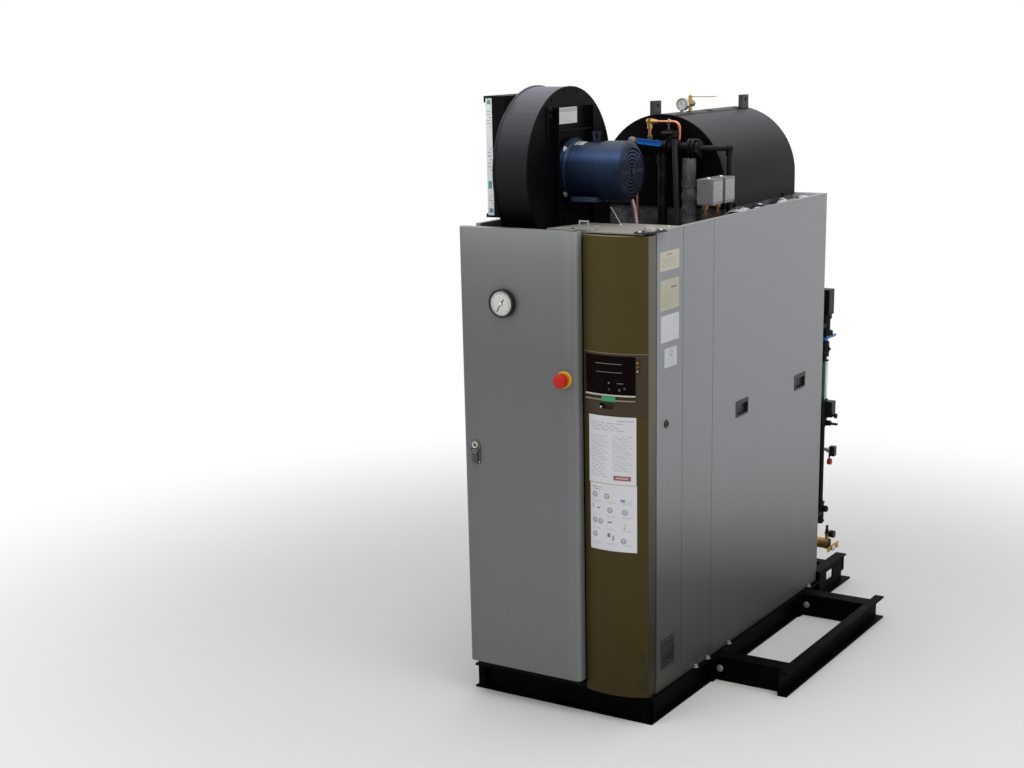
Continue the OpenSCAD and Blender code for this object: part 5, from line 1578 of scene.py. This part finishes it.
class BOILER_OT_flexible_tubes(bpy.types.Operator):
    """Ribbed conduit of the motor and the black hose beside it, with their nuts"""

    bl_idname = "boiler.flexible_tubes"
    bl_label = "Flexible tubes"

    def execute(self, context):
        palette = finishes()
        y = BLOWER_Y + MOTOR_RADIUS + 0.032
        top = BLOWER_Z - 0.042
        line = [
            (0.030, y, top), (0.030, y, top - 0.022), (0.058, y - 0.008, top - 0.040),
            (0.090, y - 0.017, top - 0.064), (0.111, y - 0.022, DECK_Z + 0.075),
            (0.112, y - 0.022, DECK_Z + 0.040), (0.112, y - 0.022, DECK_Z),
        ]
        ribbed = ribbed_tube("motor_conduit_tube", line, 0.0092, 0.0052, palette["conduit"])
        line = [
            (HOSE[0], HOSE[1], MANIFOLD_Z + 0.036), (HOSE[0], HOSE[1], MANIFOLD_Z + 0.008),
            (HOSE[0] + 0.003, HOSE[1] - 0.001, MANIFOLD_Z - 0.06),
            (HOSE[0] + 0.011, HOSE[1] - 0.002, DECK_Z + 0.10),
            (HOSE[0] + 0.014, HOSE[1] - 0.002, DECK_Z),
        ]
        hose = tube("bleed_hose", line, 0.0112, palette["rubber"], sides=8)
        nuts = []
        for place, radius, name in (
            ((0.030, y, top - 0.013), 0.0150, "zinc"),
            ((0.112, y - 0.022, DECK_Z), 0.0150, "zinc"),
            ((HOSE[0] + 0.014, HOSE[1] - 0.002, DECK_Z), 0.0170, "iron"),
        ):
            nut = hex_bolt(radius, 0.011, palette[name], washer=False)
            nuts.append(moved(nut, Matrix.Translation(place)))
        whole = joined("flexible_tubes", [ribbed, hose, *nuts])
        fitted(whole, replaces=["motor_conduit"])
        return {"FINISHED"}


class BOILER_OT_drum_fittings(bpy.types.Operator):
    """Dial of the drum's gauge, rivets of its end sheets and rubber collars"""

    bl_idname = "boiler.drum_fittings"
    bl_label = "Drum fittings"

    def execute(self, context):
        palette = finishes()
        z = edge("barrel_gauge", "z", 0) + 0.0379
        y = edge("barrel_gauge", "y", 0) + 0.003
        face = turned(
            "drum_dial_face",
            [(0.0, 0.0), (0.0208, 0.0), (0.0208, 0.0004), (0.0, 0.0006)],
            steps=40,
            material=palette["white"],
        )
        parts = [moved(face, facing("-Y", (0, y, z)))]
        mark = ((-0.0005, 0.0145, 0.0004), (0.0005, 0.0185, 0.0008))
        parts += dial_marks((0, y, z), 13, 22.5, lambda i: mark, palette["ink"])
        hand = block("hand", (-0.0008, -0.004, 0.0008), (0.0008, 0.0135, 0.0013), palette["ink"])
        parts.append(moved(hand, facing("-Y", (0, y, z)) @ Matrix.Rotation(0.7, 4, "Z")))
        fitted(joined("drum_dial", parts))
        rivet = turned(
            "rivet", [(0.0, 0.0), (0.0040, 0.0), (0.0034, 0.0012), (0.0, 0.0020)], steps=12,
            material=palette["drum"],
        )
        radius = DRUM_TOP - DRUM_Z
        places = []
        for y in (DRUM_FRONT + 0.020, DRUM_BACK - 0.022):
            for degrees in range(-84, 85, 24):
                spot = Matrix.Translation((0, y, DRUM_Z)) @ Matrix.Rotation(math.radians(degrees), 4, "Y")
                places.append(spot @ Matrix.Translation((0, 0, radius - 0.0002)))
        fitted(copies("drum_rivets", rivet, places))
        collar = turned(
            "drum_collars",
            [(0.016, 0.0), (0.027, 0.0), (0.026, 0.004), (0.021, 0.007), (0.016, 0.006)],
            steps=32,
            material=palette["rubber"],
        )
        moved(collar, Matrix.Translation((0, GAUGE_STEM_Y, DRUM_TOP - 0.0079)))
        fitted(collar)
        return {"FINISHED"}


class BOILER_OT_foil_scraps(bpy.types.Operator):
    """Crumpled pieces of foil and cloth in the gully beside the drum"""

    bl_idname = "boiler.foil_scraps"
    bl_label = "Foil scraps"

    def execute(self, context):
        cloth = finishes()["foil"]
        rng = random.Random(7)
        scraps = []
        for i in range(9):
            y = 0.075 + i * 0.078
            at_rest()
            bpy.ops.mesh.primitive_grid_add(x_subdivisions=12, y_subdivisions=14, size=1)
            scrap = bpy.context.object
            scrap.scale = (0.074, 0.105, 1)
            scrap.rotation_euler = [rng.uniform(-most, most) for most in (0.15, 0.25, 0.3)]
            scrap.location = (0.322, y, CABINET_TOP - rng.uniform(0.004, 0.026))
            settled("scrap", cloth)
            fold = rng.uniform(30, 60)
            lean = rng.uniform(0, 6)
            for point in scrap.data.vertices:
                x, along = point.co.x - 0.322, point.co.y - y
                point.co.z += 0.009 * math.sin(fold * (x + 0.6 * along) + lean) + rng.uniform(-0.003, 0.003)
                point.co.x = min(max(point.co.x, 0.2795), 0.3625)
                point.co.z = min(point.co.z, CABINET_TOP - 0.001)
            scraps.append(thickened(scrap, 0.0015))
        piece = smooth(joined("foil_scraps", scraps), 40)
        fitted(piece)
        return {"FINISHED"}


class BOILER_OT_pipe_fittings(bpy.types.Operator):
    """Nuts of the union, the lever's nut, threads and clip of the level pipe"""

    bl_idname = "boiler.pipe_fittings"
    bl_label = "Pipe fittings"

    def execute(self, context):
        palette = finishes()
        y, z = MANIFOLD_Y, MANIFOLD_Z
        nut = hex_bolt(0.0088, 0.006, palette["iron"], washer=False)
        places = []
        for degrees in range(20, 380, 90):
            angle = math.radians(degrees)
            spot = (y - 0.030 * math.sin(angle), z + 0.030 * math.cos(angle))
            places.append(facing("+X", (0.1915, *spot), angle))
        fitted(copies("union_nuts", nut, places))
        lever_z = (edge("gas_valve_lever", "z", 1) - 0.0131)
        nut = hex_bolt(0.0110, 0.006, palette["dull"])
        places = [facing("-Y", (-0.080, y - 0.0470, lever_z), 0.3)]
        fitted(copies("handle_nut", nut, places))
        spots = [
            facing("+X", (x0 + i * THREAD_PITCH, y, z))
            for x0, count in ((-0.0585, 4), (-0.0150, 8), (0.0600, 4))
            for i in range(count)
        ]
        threads = thread_rings(0.0215, 0.0228, 32, spots, palette["iron"])
        fitted(joined("pipe_threads", threads))
        clip = tube(
            "tube_clip",
            [(0.060, y, z + 0.088), (0.0515, y, z + 0.094), (0.0505, y, z + 0.101), (0.0560, y, z + 0.1085),
             (0.064, y, z + 0.1085), (0.0695, y, z + 0.101), (0.0685, y, z + 0.094), (0.060, y, z + 0.088)],
            0.0014,
            palette["zinc"],
        )
        fitted(clip)
        return {"FINISHED"}


class BOILER_OT_switch_fittings(bpy.types.Operator):
    """Labels, screws and adjusting caps of the two pressure switches"""

    bl_idname = "boiler.switch_fittings"
    bl_label = "Switch fittings"

    def execute(self, context):
        palette = finishes()
        x0, x1 = edge("pressure_switches", "x", 0), edge("pressure_switches", "x", 1)
        low, high = edge("pressure_switches", "z", 1) - 0.093, edge("pressure_switches", "z", 1)
        screw = round_screw(0.0034, palette["switch"])
        places, labels, caps = [], [], []
        for number, y in enumerate((MANIFOLD_Y - 0.092, MANIFOLD_Y + 0.015)):
            face = y - 0.044
            for x, z in ((x0 + 0.010, high - 0.010), (x1 - 0.010, high - 0.010), (x0 + 0.010, low + 0.010),
                         (x1 - 0.010, low + 0.010)):
                places.append(facing("-Y", (x, face, z), x * 40))
            prints = [
                ("rows", y - 0.034, y + 0.030, low + 0.014, high - 0.016, 0.009, (0.20, 0.20, 0.21)),
                ("frame", y - 0.038, y + 0.036, low + 0.010, high - 0.010, 0.0012, (0.22, 0.22, 0.23)),
            ]
            label = block("label", (x1, y - 0.040, low + 0.008), (x1 + 0.0006, y + 0.038, high - 0.008))
            label.data.materials.append(
                printed_paper(f"switch_print_{number}", "y", (0.36, 0.36, 0.36), prints)
            )
            labels.append(soften(label, 0.003, 2, lambda place, along: abs(along.x) > 0.9))
            cap = turned(
                "cap",
                [(0.0, 0.0), (0.0075, 0.0), (0.0075, 0.004), (0.0062, 0.0055), (0.0, 0.006)],
                steps=20,
                material=palette["zinc"],
            )
            caps.append(moved(cap, Matrix.Translation(((x0 + x1) / 2, y - 0.012, high))))
        fitted(copies("switch_screws", screw, places))
        fitted(joined("switch_labels", labels))
        fitted(joined("switch_caps", caps))
        return {"FINISHED"}


class BOILER_OT_stack_fittings(bpy.types.Operator):
    """Guard rods, collars, threads and a handle nut of the pipe stack behind the cabinet"""

    bl_idname = "boiler.stack_fittings"
    bl_label = "Pipe stack fittings"

    def execute(self, context):
        palette = finishes()
        x, y = STACK
        rods = []
        for i in range(4):
            angle = math.radians(45 + 90 * i)
            spot = (x + 0.0175 * math.cos(angle), y + 0.0175 * math.sin(angle))
            rods.append(tube("rod", [(*spot, 0.921), (*spot, 1.104)], 0.0016, palette["zinc"], False))
        for z in (0.9185, 1.098):
            band = turned(
                "band",
                [(0.0122, 0.0), (0.0205, 0.0), (0.0205, 0.004), (0.0190, 0.006), (0.0122, 0.006)],
                steps=32,
                material=palette["iron"],
            )
            rods.append(moved(band, Matrix.Translation((x, y, z))))
        fitted(joined("sight_glass_guard", rods))
        spots = [
            Matrix.Translation((x, y, z0 + i * THREAD_PITCH))
            for z0, count in ((0.4450, 6), (0.3420, 3), (0.7920, 4))
            for i in range(count)
        ]
        threads = thread_rings(0.0118, 0.0130, 24, spots, palette["iron"])
        fitted(joined("stack_threads", threads))
        nut = hex_bolt(0.0095, 0.006, palette["zinc"])
        places = [facing("+X", (edge("rear_lower_lever", "x", 1) + 0.0019, y, 0.230), 0.2)]
        fitted(copies("lower_handle_nut", nut, places))
        return {"FINISHED"}


class BOILER_OT_stage(bpy.types.Operator):
    """Pale floor, soft lamps and the camera"""

    bl_idname = "boiler.stage"
    bl_label = "Stage"

    def floor_paint(self):
        """Pale floor that keeps the shadow near the boiler and turns white further out."""
        f = Finish("floor_paint", Roughness=0.9, Specular_IOR_Level=0.1)
        f.done(Base_Color=(0.74, 0.735, 0.73))
        path = f.add("ShaderNodeLightPath").socket.node.outputs
        seen = Wire(f, path["Is Camera Ray"]) + Wire(f, path["Is Glossy Ray"])
        seen = (seen + Wire(f, path["Is Transmission Ray"])).kept()
        reach = (f.x * f.x + f.y * f.y) ** 0.5
        white = f.add("ShaderNodeEmission", inputs={"Color": (1.0, 1.0, 1.0), "Strength": 1.0})
        near = Wire(f, f.shader.outputs[0])
        whole = f.add("ShaderNodeMixShader", inputs={0: seen * f.ramp(reach, 1.5, 4.2), 1: near, 2: white})
        out = f.material.node_tree.nodes["Material Output"]
        f.material.node_tree.links.new(whole.socket, out.inputs["Surface"])
        return f.material

    def execute(self, context):
        at_rest()
        bpy.ops.mesh.primitive_plane_add(size=60)
        floor = settled("floor")
        floor.data.materials.append(self.floor_paint())

        world = bpy.data.worlds.new("studio")
        context.scene.world = world
        world.use_nodes = True
        tree = world.node_tree
        back = tree.nodes["Background"]
        back.inputs["Color"].default_value = (0.92, 0.95, 1.0, 1)
        back.inputs["Strength"].default_value = 0.42
        white = tree.nodes.new("ShaderNodeBackground")
        white.inputs["Color"].default_value = (1, 1, 1, 1)
        white.inputs["Strength"].default_value = 1.0
        path = tree.nodes.new("ShaderNodeLightPath")
        mix = tree.nodes.new("ShaderNodeMixShader")
        seen = tree.nodes.new("ShaderNodeMath")
        shown = tree.nodes.new("ShaderNodeMath")
        shown.use_clamp = True
        tree.links.new(path.outputs["Is Camera Ray"], seen.inputs[0])
        tree.links.new(path.outputs["Is Glossy Ray"], seen.inputs[1])
        tree.links.new(seen.outputs[0], shown.inputs[0])
        tree.links.new(path.outputs["Is Transmission Ray"], shown.inputs[1])
        tree.links.new(shown.outputs[0], mix.inputs[0])
        tree.links.new(back.outputs[0], mix.inputs[1])
        tree.links.new(white.outputs[0], mix.inputs[2])
        tree.links.new(mix.outputs[0], tree.nodes["World Output"].inputs[0])

        for name, place, turn, size, power in LAMPS:
            lamp = bpy.data.lights.new(name, "AREA")
            lamp.size = size
            lamp.energy = power
            lamp.color = (1.0, 0.985, 0.96)
            holder = bpy.data.objects.new(name, lamp)
            holder.location = place
            holder.rotation_euler = [math.radians(t) for t in turn]
            context.scene.collection.objects.link(holder)

        camera = bpy.data.cameras.new("photo_camera")
        camera.sensor_width = 36
        camera.lens = CAMERA_LENS
        camera.shift_x, camera.shift_y = CAMERA_SHIFT
        camera.clip_end = 100
        holder = bpy.data.objects.new("photo_camera", camera)
        azimuth, elevation, roll = (math.radians(a) for a in CAMERA_ANGLES)
        back = Vector(
            (
                math.sin(azimuth) * math.cos(elevation),
                -math.cos(azimuth) * math.cos(elevation),
                math.sin(elevation),
            )
        )
        right = (-back).cross(Vector((0, 0, 1))).normalized()
        up = right.cross(-back)
        across = math.cos(roll) * right + math.sin(roll) * up
        upward = -math.sin(roll) * right + math.cos(roll) * up
        turn = Matrix((across, upward, back)).transposed()
        holder.matrix_world = Matrix.Translation(CAMERA_PLACE) @ turn.to_4x4()
        context.scene.collection.objects.link(holder)
        context.scene.camera = holder
        context.scene.view_settings.view_transform = "Standard"
        return {"FINISHED"}


STEPS = [
    BOILER_OT_finishes,
    BOILER_OT_skid_bolts,
    BOILER_OT_door_dial,
    BOILER_OT_door_latch,
    BOILER_OT_console,
    BOILER_OT_cover_sheets,
    BOILER_OT_side_labels,
    BOILER_OT_strip_lock,
    BOILER_OT_column_screws,
    BOILER_OT_roof_sheet,
    BOILER_OT_blower_fittings,
    BOILER_OT_filter_strip,
    BOILER_OT_motor_fittings,
    BOILER_OT_flexible_tubes,
    BOILER_OT_drum_fittings,
    BOILER_OT_foil_scraps,
    BOILER_OT_pipe_fittings,
    BOILER_OT_switch_fittings,
    BOILER_OT_stack_fittings,
    BOILER_OT_stage,
]


class BOILER_PT_panel(bpy.types.Panel):
    """Lists the boiler's pieces, sizes and colours"""

    bl_idname = "BOILER_PT_panel"
    bl_label = "Steam boiler"
    bl_space_type = "VIEW_3D"
    bl_region_type = "UI"
    bl_category = "Boiler"

    def draw(self, context):
        for group in (context.scene.boiler_sizes, context.scene.boiler_colours):
            box = self.layout.box()
            for name in group.bl_rna.properties.keys():
                if name not in ("rna_type", "name"):
                    box.prop(group, name)
        column = self.layout.column()
        for step in STEPS:
            column.operator(step.bl_idname)


CLASSES = [BoilerSizes, BoilerColours, *STEPS, BOILER_PT_panel]


def register():
    for item in CLASSES:
        bpy.utils.register_class(item)
    bpy.types.Scene.boiler_sizes = bpy.props.PointerProperty(type=BoilerSizes)
    bpy.types.Scene.boiler_colours = bpy.props.PointerProperty(type=BoilerColours)


def unregister():
    del bpy.types.Scene.boiler_colours
    del bpy.types.Scene.boiler_sizes
    for item in reversed(CLASSES):
        bpy.utils.unregister_class(item)


def main():
    register()
    for step in STEPS:
        group, name = step.bl_idname.split(".")
        getattr(getattr(bpy.ops, group), name)()
    at_rest()


if __name__ == "__main__":
    main()
